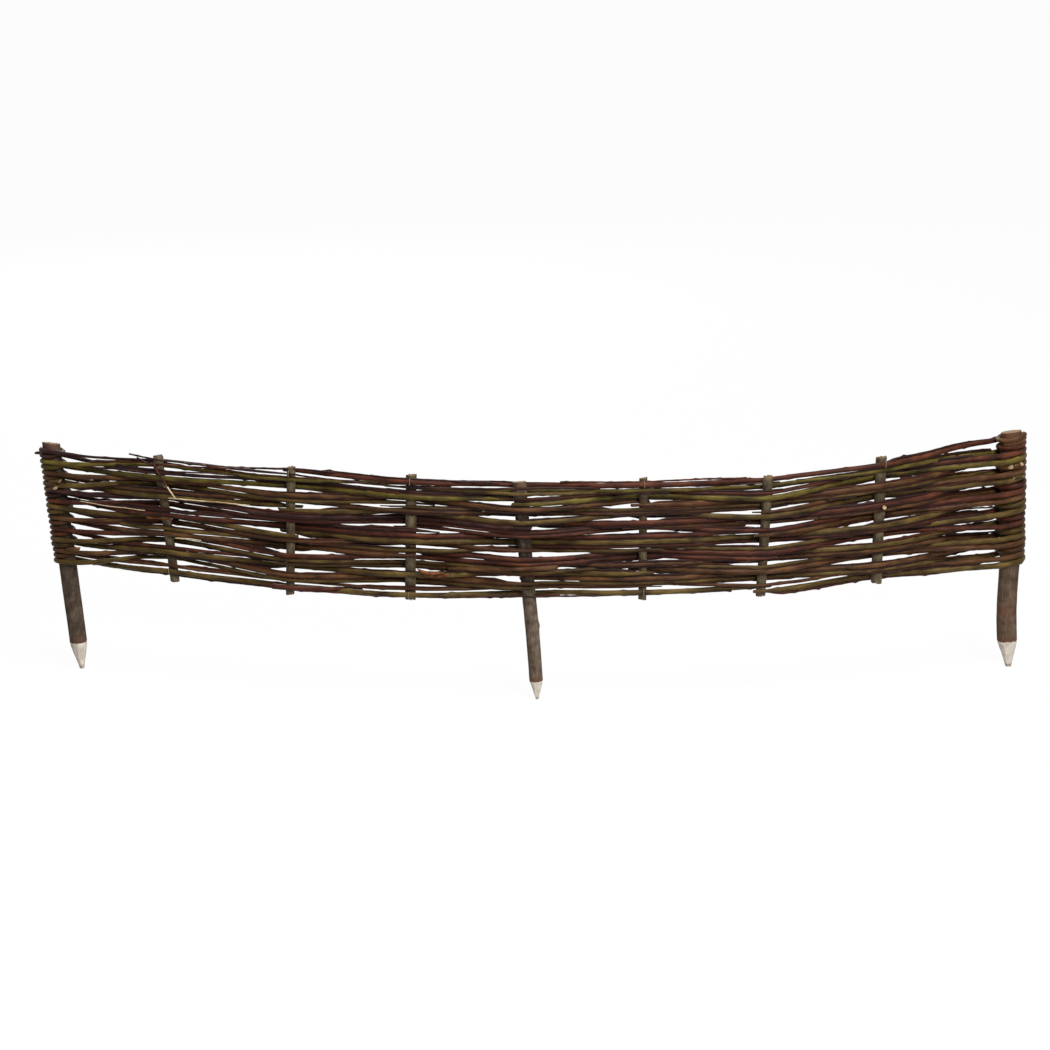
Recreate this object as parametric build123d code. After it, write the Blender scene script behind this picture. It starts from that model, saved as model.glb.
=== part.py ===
from build123d import *
import math
import os

# A low woven willow edging panel, about 1.2 m long, bowed in plan so that it stands on the points of
# its three stakes. Twenty-four willow rods are woven between nine uprights. Each rod starts behind or
# in front of an upright near the middle, runs to an end stake, coils round it and comes back.
# All lengths are in mm. +Z is up and the outside of the bow faces -Y.

os.makedirs("parts", exist_ok=True)

# Length of the panel along its bow, between the axes of the end stakes, and the bow's radius
PANEL_LENGTH = 1175.0
BOW_RADIUS = 1395.0
REFERENCE_HEIGHT = 200.0

# Uprights: name, share of the panel's length from the left stake at the reference height, sideways
# lean per mm of height, diameter
UPRIGHTS = [
    ("left_stake", 0.0, -0.104, 21.0),
    ("upright_1", 0.1237, -0.109, 10.9),
    ("upright_2", 0.2564, 0.034, 10.2),
    ("upright_3", 0.3778, 0.020, 12.6),
    ("middle_stake", 0.4890, -0.080, 16.0),
    ("upright_4", 0.6063, -0.004, 9.4),
    ("upright_5", 0.7290, 0.041, 11.3),
    ("upright_6", 0.8490, 0.003, 12.8),
    ("right_stake", 1.0, -0.046, 24.0),
]

# The weave at each upright: height of its lower edge, and its least height from edge to edge
WEAVE_BOTTOM = [129.0, 136.0, 123.2, 124.9, 123.7, 128.8, 124.2, 128.6, 133.2]
WEAVE_HEIGHT = [135.1, 133.7, 146.1, 141.0, 134.8, 133.9, 134.9, 146.1, 154.3]

# How far each upright stands past the weave, above and below it
PAST_TOP = [10.5, 6.0, 3.2, 3.2, 5.0, 3.2, 3.4, 3.2, 7.5]
PAST_BOTTOM = [0.0, 11.0, 3.4, 4.0, 0.0, 8.0, 4.2, 3.4, 0.0]

# Stake points and stake tops
POINT_LENGTHS = {"left_stake": 35.0, "middle_stake": 24.0, "right_stake": 36.0}
POINT_CORNERS = {"left_stake": 10, "middle_stake": 8, "right_stake": 10}
POINT_TIPS = {"left_stake": 5.0, "middle_stake": 3.0, "right_stake": 6.5}
TOP_CUT_SLOPE = {"left_stake": 14.0, "middle_stake": 6.0, "right_stake": 8.0}
# Above its round shank a stake is a touch slimmer, with many flats
UPPER_SHARE = 0.97
STAKE_CORNERS = 16
STICK_CORNERS = 12
SHANK_CLEAR = 8.0

# Willow rods: slots are numbered from the lowest, and two slots make one course
SLOTS = 24
LEFT_COIL_DIAMETERS = [5.9, 5.5, 6.2, 5.3, 5.6, 6.0, 5.3, 5.8, 6.2, 5.5, 5.9, 5.4]
RIGHT_COIL_DIAMETERS = [7.2, 6.6, 7.4, 6.9, 6.4, 7.3, 6.8, 7.4, 6.5, 7.1, 7.3, 6.7]
THICK_END = {"left": 5.8, "right": 5.9}
THIN_END = {"left": 4.0, "right": 4.0}
THINNEST = 2.4
TIP_TAPER = 0.6
# The upright where the rods from the two ends pass each other, one in front and one behind
MEETING = [6, 5, 4, 4, 5, 2, 4, 6, 3, 5, 4, 2, 6, 3, 5, 4, 2, 6, 3, 5, 4, 4, 3, 2]
TIP_TAILS = [30.0, 40.0, 24.0, 36.0, 27.0, 43.0, 33.0]
BUTT_TAIL_SHARE = 0.5
# Turns of the coil round an end stake, rod by rod from the lowest
LEFT_COIL_TURNS = [0.5, 1.5, 1.5, 1.5, 1.5, 1.5, 0.5, 1.5, 0.5, 1.5, 1.5, 1.5]
RIGHT_COIL_TURNS = [0.5, 1.5, 0.5, 1.5, 1.5, 1.5, 0.5, 1.5, 0.5, 1.5, 0.5, 1.5]
COIL_CORNERS = 8
# Each coil is tilted a little towards +X, and may sit higher than the middle of the weave
COIL_TILT = {"left": -0.03, "right": 0.11}
COIL_RISE = {"left": 3.4, "right": 0.0}
SECTION_CORNERS = 8

# Clearances
ROD_GAP = 0.40
COIL_GAP = 0.55
SEAT_GAP = 0.30
MAX_WEAVE_ANGLE = 11.0

# Wire staples that hold the outermost rods to the short uprights
WIRE = 1.2
WIRE_GAP = 0.35
STAPLE_BITE = 0.62
POCKET_GAP = 0.10

HALF_PANEL = PANEL_LENGTH / 2
PLACES = [(share - 0.5) * PANEL_LENGTH for _, share, _, _ in UPRIGHTS]
LAST = len(UPRIGHTS) - 1
# The origin is under the middle of the bow's depth, coils included
BACK_REACH = UPRIGHTS[-1][3] / 2 + max(RIGHT_COIL_DIAMETERS)
FRONT_REACH = UPRIGHTS[4][3] / 2 + THICK_END["left"]
BOW_CENTRE_Y = BOW_RADIUS * (1 + math.cos(HALF_PANEL / BOW_RADIUS)) / 2
BOW_CENTRE_Y -= (BACK_REACH - FRONT_REACH) / 2


def beside(place, height, along=0.0, out=0.0):
    """The point at a place along the bow, moved along its tangent and out from its centre."""
    turn = place / BOW_RADIUS
    x = (BOW_RADIUS + out) * math.sin(turn) + along * math.cos(turn)
    y = BOW_CENTRE_Y - (BOW_RADIUS + out) * math.cos(turn) + along * math.sin(turn)
    return Vector(x, y, height)


def place_at(k, height):
    """Where upright k's axis is along the bow at a height."""
    lean = UPRIGHTS[k][2]
    return PLACES[k] + lean * (height - REFERENCE_HEIGHT)


def axis_point(k, height, along=0.0, out=0.0):
    return beside(place_at(k, height), height, along, out)


def upright_radius(k):
    return UPRIGHTS[k][3] / 2


def seat_radius(k, rod_radius):
    """From an upright's axis to the centre line of a rod that passes it at a slant."""
    bare = upright_radius(k) + rod_radius + SEAT_GAP
    return bare / math.cos(math.radians(MAX_WEAVE_ANGLE))


def side_of(slot, k, half):
    """+1 where a rod passes in front of upright k and -1 where it passes behind."""
    front = (slot // 2 + k) % 2 == 0
    if half == "left":
        front = not front
    return 1 if front else -1


def leg_diameter(half, rod, slot, distance):
    """A rod's diameter at a distance from its end stake. One leg runs to the butt, the other to the tip."""
    coil = (LEFT_COIL_DIAMETERS if half == "left" else RIGHT_COIL_DIAMETERS)[rod]
    butt_leg = is_butt(rod, slot)
    far = (THICK_END if butt_leg else THIN_END)[half] * coil_share(half, rod)
    share = max(0.0, 1 - distance / HALF_PANEL)
    size = far + (coil - far) * share**4
    if distance > HALF_PANEL and not butt_leg:
        size -= TIP_TAPER * (distance / HALF_PANEL - 1) * far
    return max(THINNEST, size)


def is_butt(rod, slot):
    return (slot // 2 + rod) % 2 == 0


def coil_share(half, rod):
    """How thick a rod is against the mean of its end."""
    sizes = LEFT_COIL_DIAMETERS if half == "left" else RIGHT_COIL_DIAMETERS
    return sizes[rod] * len(sizes) / sum(sizes)


def rod_of(slot):
    return 2 * (slot // 4) + slot % 2


def stake_of(half):
    return 0 if half == "left" else LAST


def from_stake(half, k):
    return abs(PLACES[k] - PLACES[stake_of(half)])


def first_crossing(half):
    """How far from the end stake the first legs cross the middle of the panel."""
    stake = stake_of(half)
    near = 1 if half == "left" else LAST - 1
    return 0.55 * from_stake(half, near)


def slot_diameter(slot, k):
    """The room a slot needs at upright k."""
    sizes = []
    for half in ("left", "right"):
        there = k <= MEETING[slot] if half == "left" else k >= MEETING[slot]
        if there:
            distance = from_stake(half, k)
            if k == stake_of(half):
                distance = first_crossing(half)
            sizes.append(leg_diameter(half, rod_of(slot), slot, distance))
    return max(sizes)


def stack(k):
    """Heights of the slots' centres at upright k, from the lowest."""
    sizes = [slot_diameter(slot, k) for slot in range(SLOTS)]
    room = WIRE + 2 * WIRE_GAP
    spare = WEAVE_HEIGHT[k] - sum(sizes) - 2 * room
    gap = max(ROD_GAP, spare / (SLOTS - 3))
    heights = []
    edge = WEAVE_BOTTOM[k]
    for slot, size in enumerate(sizes):
        heights.append(edge + size / 2)
        edge += size + (room if slot in (0, SLOTS - 2) else gap)
    return heights


STACKS = [stack(k) for k in range(LAST + 1)]


def weave_edge(k, top):
    slot = SLOTS - 1 if top else 0
    half = slot_diameter(slot, k) / 2
    return STACKS[k][slot] + (half if top else -half)


def slot_height(slot, place):
    """Height of a slot's centre at any place along the bow, straight between the uprights."""
    for k in range(LAST):
        first = place_at(k, STACKS[k][slot])
        second = place_at(k + 1, STACKS[k + 1][slot])
        if place <= second or k == LAST - 1:
            share = (place - first) / (second - first)
            return STACKS[k][slot] * (1 - share) + STACKS[k + 1][slot] * share


def coil_pitch(half):
    return max(LEFT_COIL_DIAMETERS if half == "left" else RIGHT_COIL_DIAMETERS) + COIL_GAP


def coil_turns(half):
    """Turns of each rod round its end stake."""
    return LEFT_COIL_TURNS if half == "left" else RIGHT_COIL_TURNS


def coil_height(half, rod, turns):
    """Height of a rod's coil after some turns from its lower leg."""
    k = stake_of(half)
    levels = [math.ceil(t) for t in coil_turns(half)]
    level = sum(levels[:rod]) + turns
    middle = (weave_edge(k, True) + weave_edge(k, False)) / 2 + COIL_RISE[half]
    return middle + coil_pitch(half) * (level - (sum(levels) - 0.5) / 2)


def leg_points(half, rod, slot, turns):
    """Centre line and diameters of one leg, from its free end to the end stake."""
    stake = stake_of(half)
    inward = 1 if half == "left" else -1
    meeting = MEETING[slot]
    points = []
    # The tail runs on past the last upright, still on its own side of the panel
    k = meeting
    height = STACKS[k][slot]
    size = leg_diameter(half, rod, slot, from_stake(half, k))
    out = side_of(slot, k, half) * seat_radius(k, size / 2)
    tail = inward * TIP_TAILS[(slot * 3 + (half == "left")) % len(TIP_TAILS)]
    if is_butt(rod, slot):
        tail *= BUTT_TAIL_SHARE
    end = place_at(k, height) + tail
    points.append((beside(end, slot_height(slot, end), 0, out), 0.96 * size))
    while k != stake:
        height = STACKS[k][slot]
        size = leg_diameter(half, rod, slot, from_stake(half, k))
        out = side_of(slot, k, half) * seat_radius(k, size / 2)
        points.append((axis_point(k, height, 0, out), size))
        last_out = points[-1][0]
        k -= inward
    # Past the last upright the leg settles to its own height on the coil
    coil = leg_diameter(half, rod, slot, 0)
    out = side_of(slot, stake, half) * seat_radius(stake, coil / 2)
    clear = upright_radius(stake) + 1.5 * coil
    height = coil_height(half, rod, turns) + COIL_TILT[half] * inward * clear
    flat = axis_point(stake, height, inward * clear, out)
    share = 0.30
    settle = flat + (last_out - flat) * share
    place = math.atan2(settle.X, BOW_CENTRE_Y - settle.Y) * BOW_RADIUS
    distance = abs(place - PLACES[stake])
    settled = Vector(settle.X, settle.Y, slot_height(slot, place))
    points.append((settled, leg_diameter(half, rod, slot, distance)))
    points.append((flat, coil))
    return points


def rod_points(half, rod):
    """Centre line and diameters of a whole rod, from its lower leg's free end to its upper leg's."""
    stake = stake_of(half)
    lower = 4 * (rod // 2) + rod % 2
    upper = lower + 2
    turns = coil_turns(half)[rod]
    coil = leg_diameter(half, rod, lower, 0)
    start = side_of(lower, stake, half)
    outer = -1 if half == "left" else 1
    corner = seat_radius(stake, coil / 2) / math.cos(math.pi / COIL_CORNERS)
    points = leg_points(half, rod, lower, 0)
    steps = int(turns * COIL_CORNERS)
    for i in range(steps):
        turn = (i + 0.5) / COIL_CORNERS
        angle = 2 * math.pi * turn
        along = outer * corner * math.sin(angle)
        height = coil_height(half, rod, turn) + COIL_TILT[half] * along
        out = start * corner * math.cos(angle)
        points.append((axis_point(stake, height, along, out), coil))
    points += reversed(leg_points(half, rod, upper, turns))
    return points


def tube(points):
    """A rod of many-sided section along its centre line, mitred where it bends."""
    centres = [p for p, _ in points]
    steps = [(b - a).normalized() for a, b in zip(centres, centres[1:])]
    across = Vector(0, 0, 1)
    across = (across - steps[0] * across.dot(steps[0])).normalized()
    rings = []
    for i, (centre, size) in enumerate(points):
        before = steps[max(i - 1, 0)]
        after = steps[min(i, len(steps) - 1)]
        face = (before + after).normalized()
        other = before.cross(across)
        ring = []
        for corner in range(SECTION_CORNERS):
            angle = 2 * math.pi * corner / SECTION_CORNERS
            arm = (across * math.cos(angle) + other * math.sin(angle)) * (size / 2)
            arm -= before * (arm.dot(face) / before.dot(face))
            ring.append(centre + arm)
        rings.append(ring)
        # Carry the section round the bend
        across = across - after * across.dot(after)
        across = across.normalized()
    wires = [Wire.make_polygon(ring, close=True) for ring in rings]
    return Solid.make_loft(wires, ruled=True)


def frame_on(k, height, side=1):
    """A plane on an upright's axis: Z along the axis, X out from the bow's centre or back to it."""
    low = axis_point(k, 0)
    high = axis_point(k, 2 * REFERENCE_HEIGHT)
    axis = (high - low).normalized()
    turn = place_at(k, height) / BOW_RADIUS
    out = Vector(math.sin(turn), -math.cos(turn), 0) * side
    out = (out - axis * out.dot(axis)).normalized()
    return Plane(origin=axis_point(k, height), x_dir=out, z_dir=axis)


def staple_spots(k):
    """The outermost slots at a short upright, each with the side its rod passes on."""
    spots = []
    for slot in (0, SLOTS - 1):
        half = "left" if k <= MEETING[slot] else "right"
        size = leg_diameter(half, rod_of(slot), slot, from_stake(half, k))
        spots.append((slot, side_of(slot, k, half), size))
    return spots


def staple_legs(k, size):
    """Distance between a staple's legs, and how far its crown stands from the upright's axis."""
    spread = size + 2 * WIRE_GAP + WIRE
    crown = seat_radius(k, size / 2) + size / 2 + WIRE_GAP + WIRE / 2
    inner = upright_radius(k) * (1 - STAPLE_BITE)
    return spread, crown, inner


def staple(k, slot, side, size):
    spread, crown, inner = staple_legs(k, size)
    where = frame_on(k, STACKS[k][slot], side)
    middle = (crown + WIRE / 2 + inner) / 2
    body = Pos(crown, 0, 0) * Box(WIRE, WIRE, spread + WIRE)
    for end in (-1, 1):
        leg = Box(crown + WIRE / 2 - inner, WIRE, WIRE)
        body += Pos(middle, 0, end * spread / 2) * leg
    return where * body


def staple_pockets(k):
    """Sockets in a short upright for the legs of its two staples."""
    pockets = []
    for slot, side, size in staple_spots(k):
        spread, crown, inner = staple_legs(k, size)
        where = frame_on(k, STACKS[k][slot], side)
        bore = WIRE + 2 * POCKET_GAP
        length = crown - inner + 2 * POCKET_GAP
        for end in (-1, 1):
            cutter = Box(length, bore, bore)
            spot = Pos(inner - 2 * POCKET_GAP + length / 2, 0, end * spread / 2)
            pockets.append(where * (spot * cutter))
    return pockets


def short_upright(k):
    """A stick with slanting ends."""
    low = weave_edge(k, False) - PAST_BOTTOM[k]
    high = weave_edge(k, True) + PAST_TOP[k]
    where = frame_on(k, low)
    slope = 6.0 if k % 2 else -5.0
    radius = upright_radius(k)
    length = high - low
    body = Pos(0, 0, -2 * radius) * extrude(RegularPolygon(radius, STICK_CORNERS), length + 4 * radius)
    cutter = Box(6 * radius, 6 * radius, 4 * radius)
    body -= Pos(0, 0, length) * Rot(0, slope, 0) * Pos(0, 0, 2 * radius) * cutter
    body -= Rot(slope, 0, 0) * Pos(0, 0, -2 * radius) * cutter
    body = where * body
    for pocket in staple_pockets(k):
        body -= pocket
    return body


def stake(k):
    """A stake with a hewn point, a round shank, a slimmer upper part and a slanting top."""
    name = UPRIGHTS[k][0]
    radius = upright_radius(k)
    point = POINT_LENGTHS[name]
    facets = POINT_CORNERS[name]
    slope = TOP_CUT_SLOPE[name]
    shank_top = shank_end(k)
    top = weave_edge(k, True) + PAST_TOP[k]
    shank = Pos(0, 0, shank_top / 2) * Cylinder(radius, shank_top)
    flats = RegularPolygon(radius * UPPER_SHARE, STAKE_CORNERS)
    upper = Pos(0, 0, shank_top) * extrude(flats, top + 2 * radius - shank_top)
    body = shank + upper
    cutter = Box(8 * radius, 8 * radius, 4 * radius)
    body -= Pos(0, 0, top) * Rot(0, slope, 0) * Pos(0, 0, 2 * radius) * cutter
    # Each stroke of the hatchet takes one slanting slice off the foot
    for i in range(facets):
        angle = 360 * (i + 0.12 * math.sin(2.3 * i)) / facets
        rise = point * (1 - 0.06 * (i % 3) / 2)
        tip = POINT_TIPS[name] / 2
        tilt = math.degrees(math.atan2(radius - tip, rise))
        slab = Pos(2 * radius, 0, 0) * Box(4 * radius, 8 * radius, 4 * point)
        body -= Rot(0, 0, angle) * Pos(tip, 0, 0) * Rot(0, tilt, 0) * slab
    return frame_on(k, 0) * body


def shank_end(k):
    """Height of the top of a stake's round shank, a little under the weave."""
    lowest = weave_edge(k, False)
    if k == 0 or k == LAST:
        lowest = min(lowest, coil_height("left" if k == 0 else "right", 0, 0) - coil_pitch("left") / 2)
    return lowest - SHANK_CLEAR


pieces = {}
for k, (name, _, _, _) in enumerate(UPRIGHTS):
    pieces[name] = stake(k) if name in POINT_LENGTHS else short_upright(k)
for half in ("left", "right"):
    for rod in range(SLOTS // 2):
        pieces[f"rod_{half}_{rod + 1:02d}"] = tube(rod_points(half, rod))
for k, (name, _, _, _) in enumerate(UPRIGHTS):
    if name in POINT_LENGTHS:
        continue
    for slot, side, size in staple_spots(k):
        end = "bottom" if slot == 0 else "top"
        number = name.split("_")[1]
        pieces[f"staple_{end}_{number}"] = staple(k, slot, side, size)

for name, shape in pieces.items():
    shape.label = name
    export_step(shape, f"parts/{name}.step")
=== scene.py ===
# %% [markdown]
# # A low woven willow edging panel
#
# The panel stands along the edge of a lawn or a flower bed. Willow rods are woven in front of and
# behind nine uprights, coil round the two end stakes and come back. The CAD model holds the solid
# form. Here each solid gets a dressed copy with bark, buds, cut ends and the small unevenness of
# wood that grew.

# %% Open the frame
import math

import bpy
import numpy as np
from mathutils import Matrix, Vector


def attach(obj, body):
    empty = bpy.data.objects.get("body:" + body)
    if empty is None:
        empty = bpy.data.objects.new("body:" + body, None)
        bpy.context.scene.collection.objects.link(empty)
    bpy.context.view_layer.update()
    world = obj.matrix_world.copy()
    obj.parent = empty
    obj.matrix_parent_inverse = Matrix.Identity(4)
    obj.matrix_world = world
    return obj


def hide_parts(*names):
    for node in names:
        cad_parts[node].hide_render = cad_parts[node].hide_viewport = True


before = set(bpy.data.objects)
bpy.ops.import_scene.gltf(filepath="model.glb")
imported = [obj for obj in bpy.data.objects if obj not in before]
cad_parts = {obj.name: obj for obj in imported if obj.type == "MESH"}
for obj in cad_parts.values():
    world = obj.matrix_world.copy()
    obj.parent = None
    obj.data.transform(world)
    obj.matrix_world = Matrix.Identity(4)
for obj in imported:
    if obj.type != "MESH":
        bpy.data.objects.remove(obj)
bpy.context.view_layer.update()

# %% [markdown]
# ## The bow
#
# Seen from above the panel is an arc, so a place on it is easiest to give as a length along the arc,
# a distance out from it and a height. One function turns these into X, Y and Z. Everything below is
# written in the three bow measures, in metres.

# %% Places on the bow
PANEL_LENGTH = 1.175
BOW_RADIUS = 1.395
REFERENCE_HEIGHT = 0.200

# name, share of the length from the left stake at the reference height, sideways lean, diameter
UPRIGHTS = [
    ("left_stake", 0.0, -0.104, 0.0210),
    ("upright_1", 0.1237, -0.109, 0.0109),
    ("upright_2", 0.2564, 0.034, 0.0102),
    ("upright_3", 0.3778, 0.020, 0.0126),
    ("middle_stake", 0.4890, -0.080, 0.0160),
    ("upright_4", 0.6063, -0.004, 0.0094),
    ("upright_5", 0.7290, 0.041, 0.0113),
    ("upright_6", 0.8490, 0.003, 0.0128),
    ("right_stake", 1.0, -0.046, 0.0240),
]
LAST = len(UPRIGHTS) - 1
HALF_PANEL = PANEL_LENGTH / 2
PLACES = [(share - 0.5) * PANEL_LENGTH for _, share, _, _ in UPRIGHTS]
# The coils of the end stakes reach further back than the middle stake's rods reach forward
BACK_SHIFT = 0.0028
BOW_CENTRE_Y = BOW_RADIUS * (1 + math.cos(HALF_PANEL / BOW_RADIUS)) / 2 - BACK_SHIFT


def on_bow(place, out, height):
    """X, Y, Z of points given by place along the bow, distance out from it, and height."""
    place, out, height = np.broadcast_arrays(place, out, height)
    turn = place / BOW_RADIUS
    x = (BOW_RADIUS + out) * np.sin(turn)
    y = BOW_CENTRE_Y - (BOW_RADIUS + out) * np.cos(turn)
    return np.stack([x, y, height], axis=-1)


def place_at(k, height):
    """Where the axis of upright k is along the bow at a height."""
    return PLACES[k] + UPRIGHTS[k][2] * (height - REFERENCE_HEIGHT)


def upright_radius(k):
    return UPRIGHTS[k][3] / 2


print("uprights:", LAST + 1, "half the panel:", round(HALF_PANEL, 3), "m")

# %% [markdown]
# ## Where each rod runs
#
# A weaver lays the rods in courses. Here a slot is the height that one rod takes up, and two slots
# make a course. A course goes in front of one upright and behind the next, and the course above it
# does the opposite. Slots are stacked at every upright from the rods' own thickness, so that no two
# rods want the same place.

# %% The weave's values
SLOTS = 24
# At each upright, from the left: height of the weave's lower edge, and its height from edge to edge
WEAVE_BOTTOM = np.array([129.0, 136.0, 123.2, 124.9, 123.7, 128.8, 124.2, 128.6, 133.2]) / 1000
WEAVE_HEIGHT = np.array([135.1, 133.7, 146.1, 141.0, 134.8, 133.9, 134.9, 146.1, 154.3]) / 1000
# Thickness of each rod where it coils round its end stake, from the lowest rod up
COIL_DIAMETERS = {
    "left": np.array([5.9, 5.5, 6.2, 5.3, 5.6, 6.0, 5.3, 5.8, 6.2, 5.5, 5.9, 5.4]) / 1000,
    "right": np.array([7.2, 6.6, 7.4, 6.9, 6.4, 7.3, 6.8, 7.4, 6.5, 7.1, 7.3, 6.7]) / 1000,
}
# Thickness of a leg at the far end of its half, and how fast a tip gets thinner beyond that
THICK_END = {"left": 0.0058, "right": 0.0059}
THIN_END = {"left": 0.0040, "right": 0.0040}
THINNEST = 0.0024
TIP_TAPER = 0.6
# The upright at which the left and the right rod of each slot end, and how far they run past it
MEETING = [6, 5, 4, 4, 5, 2, 4, 6, 3, 5, 4, 2, 6, 3, 5, 4, 2, 6, 3, 5, 4, 4, 3, 2]
TIP_TAILS = [0.030, 0.040, 0.024, 0.036, 0.027, 0.043, 0.033]
BUTT_TAIL_SHARE = 0.36
TIP_TAIL_SHARE = 0.8
# Turns of each coil, its slope, and how far a whole stack of coils sits above the weave's middle
COIL_TURNS = {
    "left": [0.5, 1.5, 1.5, 1.5, 1.5, 1.5, 0.5, 1.5, 0.5, 1.5, 1.5, 1.5],
    "right": [0.5, 1.5, 0.5, 1.5, 1.5, 1.5, 0.5, 1.5, 0.5, 1.5, 0.5, 1.5],
}
COIL_TILT = {"left": -0.03, "right": 0.11}
COIL_RISE = {"left": 0.0034, "right": 0.0}
ROD_GAP = 0.0004
COIL_GAP = 0.00055
SEAT_GAP = 0.0003
# A rod passes an upright at a slant, so its middle lies this much further out
SLANT_ROOM = 1.019
# At an end stake a slot takes its size from this share of the way to the next upright, where the rod
# hasn't yet thickened towards its coil
COIL_START = 0.55
WIRE = 0.0012
WIRE_GAP = 0.00035
print("slots:", SLOTS, "and rods from each end:", SLOTS // 2)

# %% [markdown]
# ## In front, behind, butt and tip
#
# Two rules make the weave. The side on which a rod passes an upright alternates from upright to
# upright and from course to course. A rod also has a thick butt and a thin tip, so one of its two
# legs stays thick all the way and the other tapers. Laying butts and tips by turns keeps the panel
# even in height, as a weaver does.

# %% Rods, sides and thickness
def stake_of(half):
    return 0 if half == "left" else LAST


def rod_of(slot):
    return 2 * (slot // 4) + slot % 2


def side_of(slot, k, half):
    """+1 where the rod in a slot passes in front of upright k, -1 where it passes behind."""
    front = (slot // 2 + k) % 2 == 0
    if half == "left":
        front = not front
    return 1 if front else -1


def is_butt(rod, slot):
    """A rod has one leg that ends in its thick butt and one that ends in its thin tip."""
    return (slot // 2 + rod) % 2 == 0


def leg_diameter(half, rod, slot, distance):
    """Thickness of a rod at a distance from its end stake: one leg ends thick, the other thin."""
    sizes = COIL_DIAMETERS[half]
    butt = is_butt(rod, slot)
    far = (THICK_END if butt else THIN_END)[half] * sizes[rod] / sizes.mean()
    distance = np.asarray(distance, float)
    share = np.clip(1 - distance / HALF_PANEL, 0, None)
    size = far + (sizes[rod] - far) * share**4
    if not butt:
        size = size - TIP_TAPER * far * np.clip(distance / HALF_PANEL - 1, 0, None)
    return np.maximum(THINNEST, size)


def from_stake(half, k):
    return abs(PLACES[k] - PLACES[stake_of(half)])


butt_size = float(leg_diameter("left", 0, 0, HALF_PANEL))
print("a left butt is", round(1000 * butt_size, 1), "mm thick at the middle")

# %% [markdown]
# ## Stacking the slots
#
# At each upright the rods lie on top of each other from the weave's lower edge up, and what room is
# left over is shared out between them as gaps. The lowest and the highest rod have a wire staple
# round them at the short uprights, so they keep the wire's room. Between uprights a slot's height is
# interpolated.

# %% Heights of the slots
def slot_diameter(slot, k):
    """The room a slot needs at upright k."""
    sizes = []
    for half in ("left", "right"):
        if (k <= MEETING[slot]) if half == "left" else (k >= MEETING[slot]):
            distance = from_stake(half, k)
            if k == stake_of(half):
                distance = COIL_START * from_stake(half, 1 if half == "left" else LAST - 1)
            sizes.append(float(leg_diameter(half, rod_of(slot), slot, distance)))
    return max(sizes)


def stack(k):
    """Heights of the middles of all slots at upright k."""
    sizes = np.array([slot_diameter(slot, k) for slot in range(SLOTS)])
    room = WIRE + 2 * WIRE_GAP
    spare = WEAVE_HEIGHT[k] - sizes.sum() - 2 * room
    gaps = np.full(SLOTS - 1, max(ROD_GAP, spare / (SLOTS - 3)))
    gaps[0] = gaps[-1] = room
    lower_edges = WEAVE_BOTTOM[k] + np.concatenate([[0], np.cumsum(sizes[:-1] + gaps)])
    return lower_edges + sizes / 2


STACKS = np.array([stack(k) for k in range(LAST + 1)])


def slot_height(slot, place):
    """Height of a slot's middle anywhere along the bow."""
    places = [place_at(k, STACKS[k][slot]) for k in range(LAST + 1)]
    return np.interp(place, places, STACKS[:, slot])


def weave_edge(k, top):
    slot = SLOTS - 1 if top else 0
    return STACKS[k][slot] + (0.5 if top else -0.5) * slot_diameter(slot, k)


print("weave height at the left, middle and right stakes:",
      [round(float(weave_edge(k, True) - weave_edge(k, False)), 3) for k in (0, 4, LAST)])

# %% [markdown]
# ## Small unevenness
#
# Nothing on the panel is straight or even. Random noise that jumps from point to point looks like
# grit, so the helper below adds a few long waves with seeded phases instead. The same seed gives the
# same wave on every run.

# %% Waves with a seed
def waves(seed, *measures, count=4, longest=1.0, shortest=0.15):
    """A smooth uneven value of about -1 to 1, from sine waves across one or more measures."""
    rng = np.random.default_rng(seed)
    total, weight = 0.0, 0.0
    for i in range(count):
        length = longest * (shortest / longest) ** (i / max(count - 1, 1))
        share = (length / longest) ** 0.5
        phase = rng.uniform(0, 2 * math.pi)
        for measure in measures:
            slant = rng.uniform(0.6, 1.4) * rng.choice([-1, 1])
            phase = phase + slant * 2 * math.pi * np.asarray(measure) / length
        total = total + share * np.sin(phase)
        weight += share
    return total / weight


def ease(t):
    """A bend between two uprights: flat where the rod rests on wood, steepest halfway."""
    t = np.clip(t, 0, 1)
    return 0.8 * (1 - np.cos(math.pi * t)) / 2 + 0.2 * t


def fade(value, start, end):
    t = np.clip((value - start) / (end - start), 0, 1)
    return t * t * (3 - 2 * t)


print("a sample wave:", np.round(waves(3, np.linspace(0, 1, 5)), 2))

# %% [markdown]
# ## The centre line of one willow rod
#
# A rod is fresh, springy wood. Pulled in front of one upright and behind the next it takes the shape
# of a gentle wave, flat against each upright and steepest halfway, and not a zigzag. At the end stake
# it is wound round tightly and rises one rod's thickness with each turn. Each rod is one line of
# points: a leg in to the stake, the coil, and a leg out again.

# %% Legs and coils
RING_STEP = 0.0025
# Share of its thickness that a leg keeps at its free end, and how far from the end it begins to lose it
FREE_END = {"butt": 0.62, "tip": 0.45}
FREE_END_TAPER = 0.05
# Share of the last span over which a leg turns level with its coil
COIL_APPROACH = 0.78
# The topmost left leg is thinner than the others by this share, and it sags a little near its stake
THIN_TOP_SHARE = 0.42
THIN_TOP_SAG = 0.0012


def coil_height(half, rod, turns):
    k = stake_of(half)
    levels = [math.ceil(t) for t in COIL_TURNS[half]]
    pitch = COIL_DIAMETERS[half].max() + COIL_GAP
    middle = (weave_edge(k, True) + weave_edge(k, False)) / 2 + COIL_RISE[half]
    return middle + pitch * (sum(levels[:rod]) + turns - (sum(levels) - 0.5) / 2)


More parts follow.
